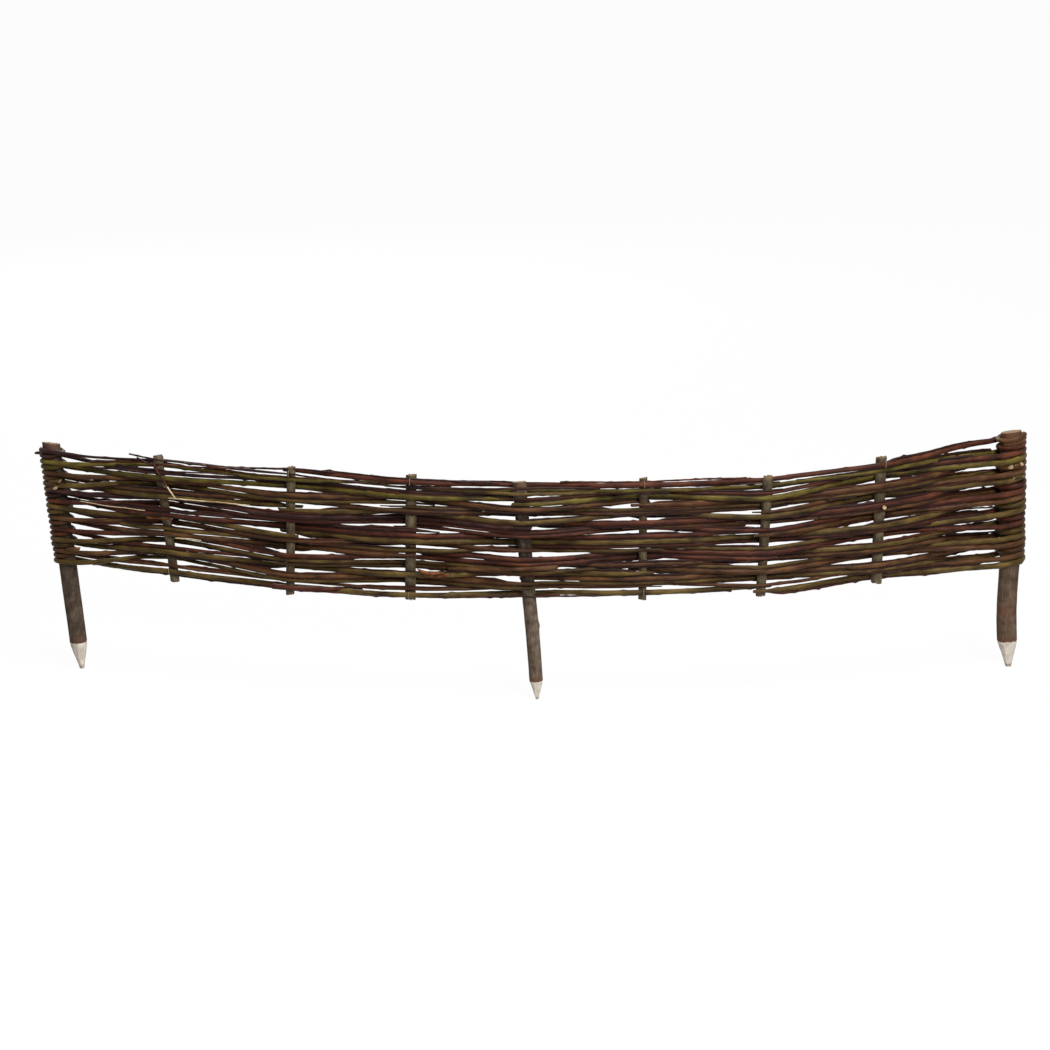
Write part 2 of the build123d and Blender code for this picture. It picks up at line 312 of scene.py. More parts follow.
def seat_out(half, rod, slot, k):
    """How far out from the bow a leg's middle lies where it passes upright k."""
    size = leg_diameter(half, rod, slot, from_stake(half, k))
    return side_of(slot, k, half) * (upright_radius(k) + size / 2 + SEAT_GAP) * SLANT_ROOM


def leg_line(half, rod, slot, turns):
    """Place, out, height and thickness along one leg, from its free end to the end stake."""
    stake = stake_of(half)
    inward = 1 if half == "left" else -1
    k = MEETING[slot]
    tail = inward * TIP_TAILS[(slot * 3 + (half == "left")) % len(TIP_TAILS)]
    tail *= BUTT_TAIL_SHARE if is_butt(rod, slot) else TIP_TAIL_SHARE
    stations = [(place_at(k, STACKS[k][slot]) + tail, seat_out(half, rod, slot, k) * 1.05)]
    while k != stake:
        stations.append((place_at(k, STACKS[k][slot]), seat_out(half, rod, slot, k)))
        k -= inward
    coil = COIL_DIAMETERS[half][rod]
    out = side_of(slot, stake, half) * (upright_radius(stake) + coil / 2 + SEAT_GAP)
    end_height = coil_height(half, rod, turns)
    stations.append((place_at(stake, end_height), out))
    places = [stations[0][0]]
    outs = [stations[0][1]]
    for (a, wa), (b, wb) in zip(stations, stations[1:]):
        count = max(4, int(abs(b - a) / RING_STEP))
        t = np.linspace(0, 1, count + 1)[1:]
        places += list(a + (b - a) * t)
        outs += list(wa + (wb - wa) * ease(t))
    places, outs = np.array(places), np.array(outs)
    distance = np.abs(places - stations[-1][0])
    heights = slot_height(slot, places)
    span = abs(stations[-2][0] - stations[-1][0])
    near = 1 - fade(distance, 0, COIL_APPROACH * span)
    tilt = COIL_TILT[half] * inward * np.minimum(distance, 0.022)
    heights = heights * (1 - near) + (end_height + tilt) * near
    sizes = leg_diameter(half, rod, slot, distance)
    thinnest = FREE_END["butt" if is_butt(rod, slot) else "tip"]
    sizes = sizes * (thinnest + (1 - thinnest) * fade(np.abs(places - places[0]), 0, FREE_END_TAPER))
    if half == "left" and slot == SLOTS - 1:
        slim = fade(distance, 0.01, 0.06)
        sizes = sizes * (1 - THIN_TOP_SHARE * slim)
        heights = heights - THIN_TOP_SAG * slim * (1 - fade(distance, 0.12, 0.2))
    return places, outs, heights, sizes, distance


print("the lowest left leg has", len(leg_line("left", 0, 0, 0)[0]), "points")

# %% [markdown]
# ## Sway and coil
#
# A leg worked out from the uprights alone is too regular. Long waves let it rise, fall and swing out a
# little between them, and they fade away where wood touches wood. The coil is a helix round the leaning
# stake, worked out in the bow's own directions and tilted, because the rod comes in from one side.

# %% Unevenness and coils
def swaying_leg(half, rod, slot, turns):
    """A leg with its own unevenness. Neighbours sway together, so that they never run into each other."""
    place, out, height, size, distance = leg_line(half, rod, slot, turns)
    free = fade(distance, 0.03, 0.10) * fade(np.abs(place[0] - place) + 0.02, 0.0, 0.05)
    common = waves(7, place, count=5, longest=0.42, shortest=0.06)
    between = waves(11, place + 0.013 * slot, count=4, longest=0.33, shortest=0.07)
    own = waves(100 + 31 * rod + slot, place, count=5, longest=0.16, shortest=0.03)
    edge = 0.45 if slot in (0, SLOTS - 1) else 1.0
    height = height + free * edge * (0.0005 * common + 0.0006 * between + 0.0003 * own)
    out = out + free * 0.0006 * waves(900 + 7 * rod + slot, place, count=4, longest=0.12, shortest=0.04)
    return slot, place, out, height, size, distance


TURN_POINTS = 24


def coil_ring(half, rod, start):
    """Points of a rod's coil round its end stake, from the side it comes in on."""
    stake, turns = stake_of(half), COIL_TURNS[half][rod]
    outer = -1 if half == "left" else 1
    turn = np.linspace(0, turns, int(TURN_POINTS * turns) + 1)[1:-1]
    centre = place_at(stake, coil_height(half, rod, turn))
    radius = upright_radius(stake) + COIL_DIAMETERS[half][rod] / 2 + SEAT_GAP
    radius = radius + 0.0003 * waves(rod + 50, turn, longest=1.0, shortest=0.2)
    along = outer * radius * np.sin(2 * math.pi * turn)
    out = start * radius * np.cos(2 * math.pi * turn)
    height = coil_height(half, rod, turn) + COIL_TILT[half] * along
    bend = centre / BOW_RADIUS
    ring = on_bow(centre, 0, height)
    ring[:, 0] += along * np.cos(bend) + out * np.sin(bend)
    ring[:, 1] += along * np.sin(bend) - out * np.cos(bend)
    return ring


print("points in a coil of one and a half turns:", len(coil_ring("left", 1, 1)))

# %% [markdown]
# ## The whole rod
#
# The first leg, the coil and the second leg turned round make one line. A few rounds of averaging take
# out the small corner where a leg runs into its coil.

# %% A rod's line
def smooth_line(line, rounds):
    """Each point moves towards the middle of its neighbours, again and again."""
    for _ in range(rounds):
        line[1:-1] = (line[:-2] + 2 * line[1:-1] + line[2:]) / 4
    return line


def rod_line(half, rod):
    """All points of a rod, its thickness at each, and its two legs in bow measures."""
    lower = 4 * (rod // 2) + rod % 2
    ways = ((lower, 0), (lower + 2, COIL_TURNS[half][rod]))
    legs = [swaying_leg(half, rod, slot, turns) for slot, turns in ways]
    first, last = [on_bow(*leg[1:4]) for leg in legs]
    ring = coil_ring(half, rod, side_of(lower, stake_of(half), half))
    line = smooth_line(np.concatenate([first, ring, last[::-1]]), 3)
    coil = np.full(len(ring), COIL_DIAMETERS[half][rod])
    return line, np.concatenate([legs[0][4], coil, legs[1][4][::-1]]), legs


sample_line, _, _ = rod_line("left", 1)
sample_length = float(np.linalg.norm(np.diff(sample_line, axis=0), axis=1).sum())
print("points in one rod:", len(sample_line), "length:", round(sample_length, 3), "m")

# %% [markdown]
# ## Skin for a line of points
#
# Curve objects with a bevel could make these rods, but every ring of such a tube is the same. A mesh
# made ring by ring lets each ring have its own outline: a swelling at each leaf joint, a bud beside
# it and a slight flattening between. Each point also stores where it is in the wood, across the rod
# and along it, so that a bark pattern can follow the grain round every bend.

# %% A rod's mesh
def carry_round(line):
    """Two directions across the line at every point, carried from ring to ring without a twist."""
    tangent = np.gradient(line, axis=0)
    tangent /= np.linalg.norm(tangent, axis=1)[:, None]
    across = np.zeros_like(line)
    first = np.array([0.0, 0.0, 1.0])
    for i, t in enumerate(tangent):
        first = first - t * (first @ t)
        first /= np.linalg.norm(first)
        across[i] = first
    return across, np.cross(tangent, across), tangent


print("directions across the sample rod:", len(carry_round(sample_line)[0]))

# %% [markdown]
# ## From a skin to an object
#
# A skin is a dictionary: points, faces, a kind for each face and what each point remembers. Several
# skins can be joined into one before anything is handed to Blender, so a rod and its side shoots
# become a single mesh. The kinds pick the material, and the memories become named attributes that a
# shader can read.

# %% Join skins and make meshes
def put_mesh(name, skin, materials):
    """A mesh object from a skin: points, faces, and what the points remember about the wood."""
    mesh = bpy.data.meshes.new(name)
    mesh.from_pydata(skin["verts"].tolist(), [], skin["faces"])
    for material in materials:
        mesh.materials.append(material)
    mesh.polygons.foreach_set("material_index", np.array(skin["kinds"], np.int32))
    mesh.polygons.foreach_set("use_smooth", np.array(skin["smooth"], bool))
    mesh.attributes.new("grain", "FLOAT_VECTOR", "POINT").data.foreach_set(
        "vector", np.asarray(skin["grain"], np.float32).ravel())
    mesh.attributes.new("thin", "FLOAT", "POINT").data.foreach_set(
        "value", np.asarray(skin["thin"], np.float32).ravel())
    mesh.update()
    piece = bpy.data.objects.new(name, mesh)
    bpy.context.scene.collection.objects.link(piece)
    return piece


def join(skins):
    """Several skins as one."""
    whole = {"verts": [], "grain": [], "thin": [], "faces": [], "kinds": [], "smooth": []}
    count = 0
    for skin in skins:
        whole["faces"] += [[corner + count for corner in face] for face in skin["faces"]]
        for key in ("kinds", "smooth"):
            whole[key] += list(skin[key])
        for key in ("verts", "grain", "thin"):
            whole[key].append(skin[key])
        count += len(skin["verts"])
    for key in ("verts", "grain", "thin"):
        whole[key] = np.concatenate(whole[key])
    return whole


print("a skin holds points, faces, kinds, shading, grain and thinness")

# %% [markdown]
# ## Leaf joints and buds
#
# Every few centimetres a willow rod has a leaf joint: a slight ring-shaped swelling with one bud on
# it. The next bud sits about 140 degrees further round, as leaves do on a shoot. Both are small bell
# curves added to the radius, so that they are real shape and show on the outline.

# %% Rings of a rod
BUD_TURN = 2.4


def rod_rings(line, size, seed, sides, joint_gap=0.038, bud=0.16, swell=0.09, rough=0.03):
    """Ring points of a rod, with leaf joints and buds, and the grain of each point."""
    rng = np.random.default_rng(seed)
    across, other, tangent = carry_round(line)
    along = np.concatenate([[0], np.cumsum(np.linalg.norm(np.diff(line, axis=0), axis=1))])
    angle = np.linspace(0, 2 * math.pi, sides, endpoint=False)
    radius = np.repeat((size / 2)[:, None], sides, axis=1)
    uneven = waves(seed, along[:, None] / 0.05, angle[None, :] / 3, longest=1, shortest=0.3)
    radius *= 1 + rough * uneven
    joint, turn = rng.uniform(0.2, 1) * joint_gap, rng.uniform(0, 6.28)
    while joint < along[-1]:
        reach = (along - joint) / 0.0035
        radius *= 1 + swell * np.exp(-reach**2)[:, None]
        away = (angle - turn + math.pi) % (2 * math.pi) - math.pi
        bump = np.exp(-((along - joint - 0.002) / 0.0028) ** 2)[:, None]
        bump = bump * np.exp(-(away / 0.45) ** 2)
        radius *= 1 + bud * 2 * bump
        joint += joint_gap * rng.uniform(0.7, 1.4)
        turn += BUD_TURN + rng.uniform(-0.3, 0.3)
    cos, sin = np.cos(angle), np.sin(angle)
    ring = across[:, None, :] * cos[None, :, None] + other[:, None, :] * sin[None, :, None]
    points = line[:, None, :] + ring * radius[:, :, None]
    half = (size / 2)[:, None]
    start = rng.uniform(0, 50)
    grain = np.stack([half * cos, half * sin, np.repeat((along + start)[:, None], sides, 1)], -1)
    return points, grain, tangent


print("buds are", round(math.degrees(BUD_TURN)), "degrees apart round the rod")

# %% [markdown]
# ## Closing the tube
#
# Faces run between the rings, and a fan of flat faces closes each end. A pruning cut slants, so the
# end rings are sheared along the rod first.

# %% A closed rod
def tube_faces(rings, sides, first=0):
    i = np.arange(rings - 1)[:, None] * sides
    j = np.arange(sides)[None, :]
    k = (j + 1) % sides
    quads = np.stack([i + j, i + k, i + sides + k, i + sides + j], -1).reshape(-1, 4) + first
    return quads.tolist()


def rod_skin(line, size, seed, sides=14, kinds=(0, 1), cuts=(0.3, 0.3), thin=None, **look):
    """One closed rod. Its ends are cut at a slant and show pale wood."""
    points, grain, tangent = rod_rings(line, size, seed, sides, **look)
    slant = np.cos(np.linspace(0, 2 * math.pi, sides, endpoint=False) + seed)
    points[0] += -tangent[0] * (slant * cuts[0] * size[0])[:, None]
    points[-1] += tangent[-1] * (slant * cuts[1] * size[-1])[:, None]
    rings = len(points)
    verts = np.concatenate([points.reshape(-1, 3), points[:1].mean(1), points[-1:].mean(1)])
    grains = np.concatenate([grain.reshape(-1, 3), [grain[0].mean(0)], [grain[-1].mean(0)]])
    faces = tube_faces(rings, sides)
    face_kinds, smooth = [kinds[0]] * len(faces), [True] * len(faces)
    for centre, first, step in ((rings * sides, 0, -1), (rings * sides + 1, (rings - 1) * sides, 1)):
        for j in range(sides):
            pair = [first + j, first + (j + 1) % sides]
            faces.append([centre] + (pair if step > 0 else pair[::-1]))
            face_kinds.append(kinds[1])
            smooth.append(False)
    if thin is None:
        thin = fade(-size, -0.0050, -0.0030)
    thin = np.repeat(np.broadcast_to(thin, size.shape), sides)
    thin = np.concatenate([thin, [thin[0]], [thin[-1]]])
    return {"verts": verts, "faces": faces, "kinds": face_kinds, "smooth": smooth,
            "grain": grains, "thin": thin}


print("rings of a rod are", RING_STEP, "m apart")

# %% [markdown]
# ## Bark and wood patterns
#
# Willow bark is smooth and thin. Its colour changes slowly along the rod, fine streaks follow the
# grain, and rubbed places show orange or grey. All rods and stakes share this pattern, so it is one
# node group. It reads the grain stored in the mesh, so the streaks follow each rod round its coil.
# The group only puts out masks and a height, and each material mixes its own colours with them.

# %% Helpers for nodes
def new_group(name, inputs, outputs):
    group = bpy.data.node_groups.new(name, "ShaderNodeTree")
    for label, kind, value in inputs:
        socket = group.interface.new_socket(label, in_out="INPUT", socket_type=kind)
        socket.default_value = value
    for label, kind in outputs:
        group.interface.new_socket(label, in_out="OUTPUT", socket_type=kind)
    return group, group.nodes.new("NodeGroupInput"), group.nodes.new("NodeGroupOutput")


def node(tree, kind, inputs=None, **settings):
    """Adds a node, sets its settings, and links or fills its inputs by name or number."""
    made = tree.nodes.new(kind)
    for key, value in settings.items():
        setattr(made, key, value)
    for key, value in (inputs or {}).items():
        if isinstance(value, bpy.types.NodeSocket):
            tree.links.new(value, made.inputs[key])
        else:
            made.inputs[key].default_value = value
    return made


def noise(tree, place, scale, detail=3.0, rough=0.55):
    return node(tree, "ShaderNodeTexNoise",
                {"Vector": place, "Scale": scale, "Detail": detail, "Roughness": rough}).outputs["Fac"]


def spread(tree, value, low, high, a=0.0, b=1.0):
    return node(tree, "ShaderNodeMapRange",
                {"Value": value, "From Min": low, "From Max": high, "To Min": a, "To Max": b},
                interpolation_type="SMOOTHSTEP").outputs["Result"]


def sums(tree, a, b, how="MULTIPLY"):
    return node(tree, "ShaderNodeMath", {0: a, 1: b}, operation=how).outputs["Value"]


print("helpers for nodes are ready")

# %% [markdown]
# ## What the bark pattern is made of
#
# Two noises make the tone: one drawn out along the grain for streaks and a slow one for blotches. A
# third, patchy one says where the bark is worn, and only along some of the streaks. Small round
# lenticels come from the cells of a Voronoi texture. The relief follows the streaks.

# %% The bark pattern group
bark_pattern, given, result = new_group(
    "bark pattern",
    [("Streaks", "NodeSocketFloat", 0.06), ("Blotches", "NodeSocketFloat", 45.0),
     ("Worn From", "NodeSocketFloat", 0.60)],
    [("Tone", "NodeSocketFloat"), ("Worn", "NodeSocketFloat"), ("Specks", "NodeSocketFloat"),
     ("Relief", "NodeSocketFloat")])
t = bark_pattern
grain = node(t, "ShaderNodeAttribute", attribute_name="grain").outputs["Vector"]
squeeze = node(t, "ShaderNodeCombineXYZ", {"X": 1.0, "Y": 1.0, "Z": given.outputs["Streaks"]})
drawn = node(t, "ShaderNodeVectorMath", {0: grain, 1: squeeze.outputs[0]}, operation="MULTIPLY")
streak = noise(t, drawn.outputs[0], 950.0, 4.0, 0.6)
slow = noise(t, grain, given.outputs["Blotches"], 3.0, 0.5)
patchy = noise(t, grain, 21.0, 4.0, 0.65)
fine = noise(t, grain, 620.0, 2.0, 0.5)
tone = sums(t, sums(t, streak, 0.45), sums(t, slow, 0.55), "ADD")
worn = spread(t, patchy, given.outputs["Worn From"], 0.72)
worn = sums(t, worn, spread(t, streak, 0.38, 0.62))
dots = node(t, "ShaderNodeTexVoronoi", {"Vector": grain, "Scale": 260.0, "Randomness": 1.0})
specks = sums(t, spread(t, dots.outputs["Distance"], 0.22, 0.10), spread(t, fine, 0.50, 0.62))
relief = sums(t, sums(t, streak, 0.7), sums(t, fine, 0.3), "ADD")
for label, socket in (("Tone", tone), ("Worn", worn), ("Specks", specks), ("Relief", relief)):
    t.links.new(socket, result.inputs[label])
print("nodes in the bark pattern:", len(t.nodes))

# %% [markdown]
# ## Willow bark materials
#
# Freshly cut willow is olive, brown or red, and its thin tips are dark and purple. The colour ramp
# gives the bark its dark, middle and light tone. Thin wood is mixed towards the tip colour with the
# thinness stored in the mesh. The bark has a soft wax shine, so the roughness stays near one half.

# %% Helpers for materials
def mix(tree, share, a, b):
    return node(tree, "ShaderNodeMix", {0: share, 6: a, 7: b}, data_type="RGBA").outputs[2]


def ramp(tree, value, stops):
    made = node(tree, "ShaderNodeValToRGB", {"Fac": value})
    bar = made.color_ramp
    bar.elements[0].position, bar.elements[0].color = stops[0]
    bar.elements[1].position, bar.elements[1].color = stops[-1]
    for place, colour in stops[1:-1]:
        bar.elements.new(place).color = colour
    return made.outputs["Color"]


def rgb(red, green, blue):
    """A colour written as it looks on a screen, 0 to 255, as the shader needs it."""
    def linear(v):
        v /= 255
        return v / 12.92 if v <= 0.04045 else ((v + 0.055) / 1.055) ** 2.4
    return (linear(red), linear(green), linear(blue), 1.0)


def new_material(name, roughness, shine):
    material = bpy.data.materials.new(name)
    material.use_nodes = True
    tree = material.node_tree
    skin = tree.nodes["Principled BSDF"]
    skin.inputs["Roughness"].default_value = roughness
    skin.inputs["Specular IOR Level"].default_value = shine
    return material, tree, skin


print("helpers for materials are ready")

# %% [markdown]
# ## One recipe for all bark
#
# Each bark starts from the pattern's tone through a ramp of three colours. Then thin wood, worn
# patches and specks are mixed in, in that order, because wear and specks lie on top. The relief goes
# to a Bump node: it is finer than the mesh could hold.

# %% The bark recipe
def place_pattern(tree, streaks, blotches, worn_from):
    """The bark pattern group in a material, with the material's own values."""
    pattern = tree.nodes.new("ShaderNodeGroup")
    pattern.node_tree = bark_pattern
    for key, value in (("Streaks", streaks), ("Blotches", blotches), ("Worn From", worn_from)):
        pattern.inputs[key].default_value = value
    return pattern.outputs


def thinness(tree):
    return node(tree, "ShaderNodeAttribute", attribute_name="thin").outputs["Fac"]


def finish_skin(tree, skin, colour, relief, bump, depth):
    """Links a colour and a relief to the shader."""
    tree.links.new(colour, skin.inputs["Base Color"])
    lift = node(tree, "ShaderNodeBump", {"Height": relief, "Strength": bump, "Distance": depth})
    tree.links.new(lift.outputs["Normal"], skin.inputs["Normal"])


def bark_material(name, tones, roughness=0.5, streaks=0.06, blotches=26.0, worn_from=0.60, bump=0.3,
                  shine=0.12, tip_share=0.8, soft=0.115):
    """tones are the dark, middle, light, worn and thin wood's colours, 0 to 255."""
    dark, middle, light, worn, tip = [rgb(*tone) for tone in tones]
    material, tree, skin = new_material(name, roughness, shine)
    pattern = place_pattern(tree, streaks, blotches, worn_from)
    stops = [(0.5 - soft, dark), (0.50, middle), (0.5 + soft, light)]
    colour = ramp(tree, pattern["Tone"], stops)
    tip_colour = mix(tree, pattern["Tone"], tip, middle)
    colour = mix(tree, sums(tree, thinness(tree), tip_share), colour, tip_colour)
    colour = mix(tree, sums(tree, pattern["Worn"], 0.75), colour, worn)
    colour = mix(tree, sums(tree, pattern["Specks"], 0.5), colour, light)
    finish_skin(tree, skin, colour, pattern["Relief"], bump, 0.0006)
    return material


print("the bark recipe is ready")

# %% [markdown]
# ## Five willow barks
#
# The rods were cut from several kinds of willow. Three of them are close in tone, and the red and the
# purple ones stand out a little. The list holds only colours, so a new kind is one more line.

# %% The five barks
THIN_TIP = (38, 20, 17)
# name: dark, middle, light and worn bark, thin tips, and from where on the bark is worn
WILLOW_TONES = {
    "willow_olive": ((38, 27, 12), (80, 62, 30), (112, 91, 48), (104, 62, 36), THIN_TIP, 0.60),
    "willow_green": ((42, 33, 12), (85, 72, 29), (116, 101, 45), (112, 84, 46), THIN_TIP, 0.66),
    "willow_brown": ((38, 22, 12), (76, 49, 28), (106, 74, 46), (120, 70, 40), THIN_TIP, 0.60),
    "willow_red": ((34, 16, 11), (69, 35, 24), (102, 57, 37), (122, 70, 40), THIN_TIP, 0.58),
    "willow_purple": ((22, 11, 10), (46, 25, 22), (78, 50, 42), (120, 92, 78), (28, 15, 14), 0.57),
}
willow = {name: bark_material(name, tones, worn_from=worn_from)
          for name, (*tones, worn_from) in WILLOW_TONES.items()}
print("willow materials:", sorted(willow))

# %% [markdown]
# ## Bark that was torn or peeled
#
# Three small things differ from the rods: a twig whose bark is peeled off and shows straw-coloured
# wood, flakes of torn bark with a rough orange inner side, and the pale stub of a knot. They use the
# same pattern with paler or redder tones, coarser blotches and less shine, so they still look like
# the same wood.

# %% Peeled and torn materials
stray_bark = {
    "peeled_straw": bark_material(
        "peeled_straw", ((160, 132, 98), (208, 184, 146), (234, 216, 184), (120, 86, 56), (130, 100, 70)),
        roughness=0.6, worn_from=0.58),
    "torn_bark": bark_material(
        "torn_bark", ((56, 31, 18), (98, 56, 32), (134, 84, 50), (54, 30, 18), THIN_TIP),
        roughness=0.7, blotches=120.0, worn_from=0.58, bump=0.8),
    "pale_wood_bark": bark_material(
        "pale_wood_bark", ((120, 90, 62), (164, 132, 98), (190, 162, 130), (100, 70, 46), THIN_TIP),
        roughness=0.7),
}
print("stray materials:", sorted(stray_bark))

# %% [markdown]
# ## Cut wood
#
# Where a rod was pruned the wood inside is cream to tan, and it has greyed a little. A hewn stake
# point is paler, with long fibres torn by each stroke of the hatchet. Both read the same grain as the
# bark does, with longer streaks for the fibres.

# %% Cut and hewn wood
def wood_material(name, dark, light, stain, tip=None, roughness=0.75, bump=0.5, fibre=0.03):
    material, tree, skin = new_material(name, roughness, 0.25)
    pattern = place_pattern(tree, fibre, 120.0, 0.56)
    colour = ramp(tree, pattern["Tone"], [(0.36, rgb(*dark)), (0.62, rgb(*light))])
    colour = mix(tree, sums(tree, pattern["Worn"], 0.5), colour, rgb(*stain))
    if tip:
        stained = sums(tree, thinness(tree), spread(tree, pattern["Tone"], 0.35, 0.6))
        colour = mix(tree, stained, colour, rgb(*tip))
    finish_skin(tree, skin, colour, pattern["Relief"], bump, 0.0008)
    return material


cut_end = wood_material("cut_end", (74, 52, 32), (112, 84, 56), (60, 40, 26))
pale_end = wood_material("pale_end", (150, 122, 88), (196, 172, 138), (112, 80, 52))
broken_end = wood_material("broken_end", (84, 58, 36), (136, 106, 72), (70, 44, 28))
hewn_wood = wood_material("hewn_wood", (210, 195, 177), (244, 234, 221), (206, 180, 152), (112, 76, 46))
top_cut = wood_material("top_cut", (116, 92, 66), (160, 136, 108), (96, 66, 44))
print("cut wood materials are ready")

# %% [markdown]
# ## Bark of the stakes and sticks
#
# The stakes are older wood, so their bark is grey-brown, matt and ridged, and each stake has its own
# tone. Rust-coloured inner bark shows where the point and the top cut begin, which the mesh marks as
# it marks thin rods. Within the weave a stake gets a darker bark, which is painted shade where the rods
# keep the light off. The wire is dull, weathered metal and needs no pattern at its thickness.

# %% Stake bark, stick bark and wire
RUST = (112, 62, 34)
STAKE_TONES = {
    0: ("left", (40, 30, 23), (82, 68, 56), (118, 104, 90), (98, 58, 34)),
    4: ("middle", (54, 42, 33), (102, 87, 73), (140, 126, 110), (112, 68, 40)),
    LAST: ("right", (50, 37, 28), (97, 78, 63), (130, 111, 93), (122, 68, 36)),
}
stake_bark = {
    k: bark_material("stake_bark_" + side, (*tones, RUST), roughness=0.8, blotches=110.0, worn_from=0.55,
                     bump=0.8, shine=0.15, tip_share=0.9, soft=0.22)
    for k, (side, *tones) in STAKE_TONES.items()
}
# Darker bark for a stake within the weave: painted shade where the rods in front keep the light off
painted_shade_bark = bark_material(
    "stake_bark_painted_shade", ((34, 26, 20), (60, 49, 40), (86, 75, 62), (72, 46, 30), RUST),
    roughness=0.85, streaks=0.22, blotches=150.0, bump=0.7, shine=0.2, tip_share=0.0)
stick_bark = bark_material(
    "stick_bark", ((56, 45, 31), (93, 79, 58), (126, 112, 86), (110, 74, 46), (84, 66, 46)),
    roughness=0.75, streaks=0.10, blotches=80.0, worn_from=0.62, bump=0.5, shine=0.3)
wire, _, wire_skin = new_material("staple_wire", 0.5, 0.5)
wire_skin.inputs["Base Color"].default_value = rgb(132, 120, 100)
wire_skin.inputs["Metallic"].default_value = 1.0
print("bark of the stakes and sticks and the wire are ready")

# %% [markdown]
# ## Side shoots
#
# Willow rods are rarely clean. Thin dark shoots leave them at a leaf joint, point towards the tip and
# are woven along with the rod. They fill the seams between the courses, which is why the panel looks
# denser than its thick rods alone. A shoot starts inside its rod, comes out over a short way and then
# lies beside it, above or below.

# %% Shoots along a leg
SHOOT_SINK = 0.0003


def shoots(leg, rod, seed, first, usual, chance, leave=0.025):
    """Shoots along one leg. usual is how often they take their own side, leave the way out of the rod."""
    slot, place, out, height, size, distance = leg
    rng = np.random.default_rng(seed)
    toward_tip = 1 if is_butt(rod, slot) else -1
    outermost = slot in (0, SLOTS - 1)
    made = []
    start = max(0.0, first + rng.uniform(0, 0.04))
    while start < distance[0] - 0.07:
        # Shoots of the upper rod of a course mostly lie on top of it, those of the lower rod under it
        side = (1 if slot % 2 else -1) * (1 if outermost or rng.random() < usual else -1)
        length = rng.uniform(0.12, 0.34)
        end = min(start + length, distance[0] - 0.01)
        here = np.where((distance >= start) & (distance <= end))[0]
        if len(here) > 12 and rng.random() < (0.5 if outermost else chance):
            if toward_tip < 0:
                here = here[::-1]
            t = np.linspace(0, 1, len(here))
            run = t * (end - start)
            base = rng.uniform(0.0020, 0.0033) * (1.25 if start < 0.1 else 1)
            thickness = base * (1 - 0.5 * t) * (0.3 + 0.7 * fade(1 - t, 0, 0.3))
            # A shoot lies on its rod's side, sunk in a little so that no light shows between them
            aside = (size[here] / 2 + thickness / 2 - SHOOT_SINK) * fade(run, 0, leave)
            up_wave = 0.0006 * waves(seed + 3, run, count=4, longest=0.12, shortest=0.02)
            out_wave = 0.0008 * waves(seed + 4, run, count=4, longest=0.15, shortest=0.03)
            line = on_bow(place[here], out[here] + out_wave * fade(run, 0, 0.03),
                          height[here] + side * aside + up_wave * t)
            made.append(rod_skin(line, thickness, seed, sides=8, kinds=(2, 2), cuts=(0, 0), thin=0.85,
                                 joint_gap=0.017, bud=0.42, swell=0.16, rough=0.05))
        start = end + rng.uniform(-0.02, 0.03)
        seed += 7
    return made


print("a shoot is 2 to 3 mm thick where it leaves its rod")

# %% [markdown]
# ## The willow rods
#
# Twelve rods come from each end. Olive and brown rods make up the body of the panel, and red and
# purple ones lie among them. Every dressed rod stands for its solid in the frame.

# %% Weave the rods
ROD_COLOURS = {
    "left": ["willow_olive", "willow_brown", "willow_olive", "willow_red", "willow_brown", "willow_olive",
             "willow_red", "willow_purple", "willow_olive", "willow_brown", "willow_green", "willow_purple"],
    "right": ["willow_olive", "willow_brown", "willow_brown", "willow_olive", "willow_red", "willow_olive",
              "willow_brown", "willow_red", "willow_olive", "willow_brown", "willow_green", "willow_red"],
}
# Where the first shoot leaves a rod, from the end stake
NEAR_STAKE = 0.012
BEHIND_STAKE = -0.02
OTHER_SIDE_FROM = {"left": 0.22, "right": NEAR_STAKE}
shoot_count = 0
for half in ("left", "right"):
    for rod in range(SLOTS // 2):
        line, size, legs = rod_line(half, rod)
        seed = 1000 + 17 * rod + (half == "right")
        skins = [rod_skin(line, size, seed)]
        for leg in legs:
            if half == "left" and leg[0] == SLOTS - 1:
                continue  # this thin rod is bare, and loose twigs lie over it
            leg_seed = 40 * seed + leg[0]
            skins += shoots(leg, rod, leg_seed, NEAR_STAKE, 0.85, 0.94)
            if half == "right" and 1 < leg[0] < SLOTS - 1 and side_of(leg[0], LAST, half) < 0:
                skins += shoots(leg, rod, leg_seed + 30, BEHIND_STAKE, 0.5, 1.0, 0.001)
            if 2 < leg[0] < SLOTS - 2:
                skins += shoots(leg, rod, leg_seed + 20, OTHER_SIDE_FROM[half], 0.15, 0.9)
        shoot_count += len(skins) - 1
        colour = ROD_COLOURS[half][rod]
        shoot_bark = willow["willow_purple"] if (rod * 5 + (half == "left")) % 3 else willow["willow_red"]
        piece = put_mesh(f"willow_{half}_{rod + 1:02d}", join(skins), [willow[colour], cut_end, shoot_bark])
        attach(piece, "root")
        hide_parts(f"rod_{half}_{rod + 1:02d}")
print("rods woven:", SLOTS, "with shoots:", shoot_count)

# %% [markdown]
# ## Loose twigs and cut ends
#
# A few pieces catch the eye because they stray: a forked dark twig over the first short upright, a
# peeled straw-coloured one below it, thin reddish ones along the lower edge and the pale cut ends of
# rods that stop at a coil. Each is a short list of places on the bow. A line through such a list has
# corners, so it is laid out finely and then averaged with its neighbours until it bends like wood.

# %% Lay the loose pieces
def bend_line(stations, rounds, step=0.0015):
    """A fine line through a few stations, bent smoothly."""
    along = np.concatenate([[0], np.cumsum(np.linalg.norm(np.diff(stations, axis=0), axis=1))])
    fine = np.linspace(0, along[-1], max(8, int(along[-1] / step)))
    line = np.stack([np.interp(fine, along, stations[:, i]) for i in range(3)], axis=1)
    return smooth_line(line, rounds)


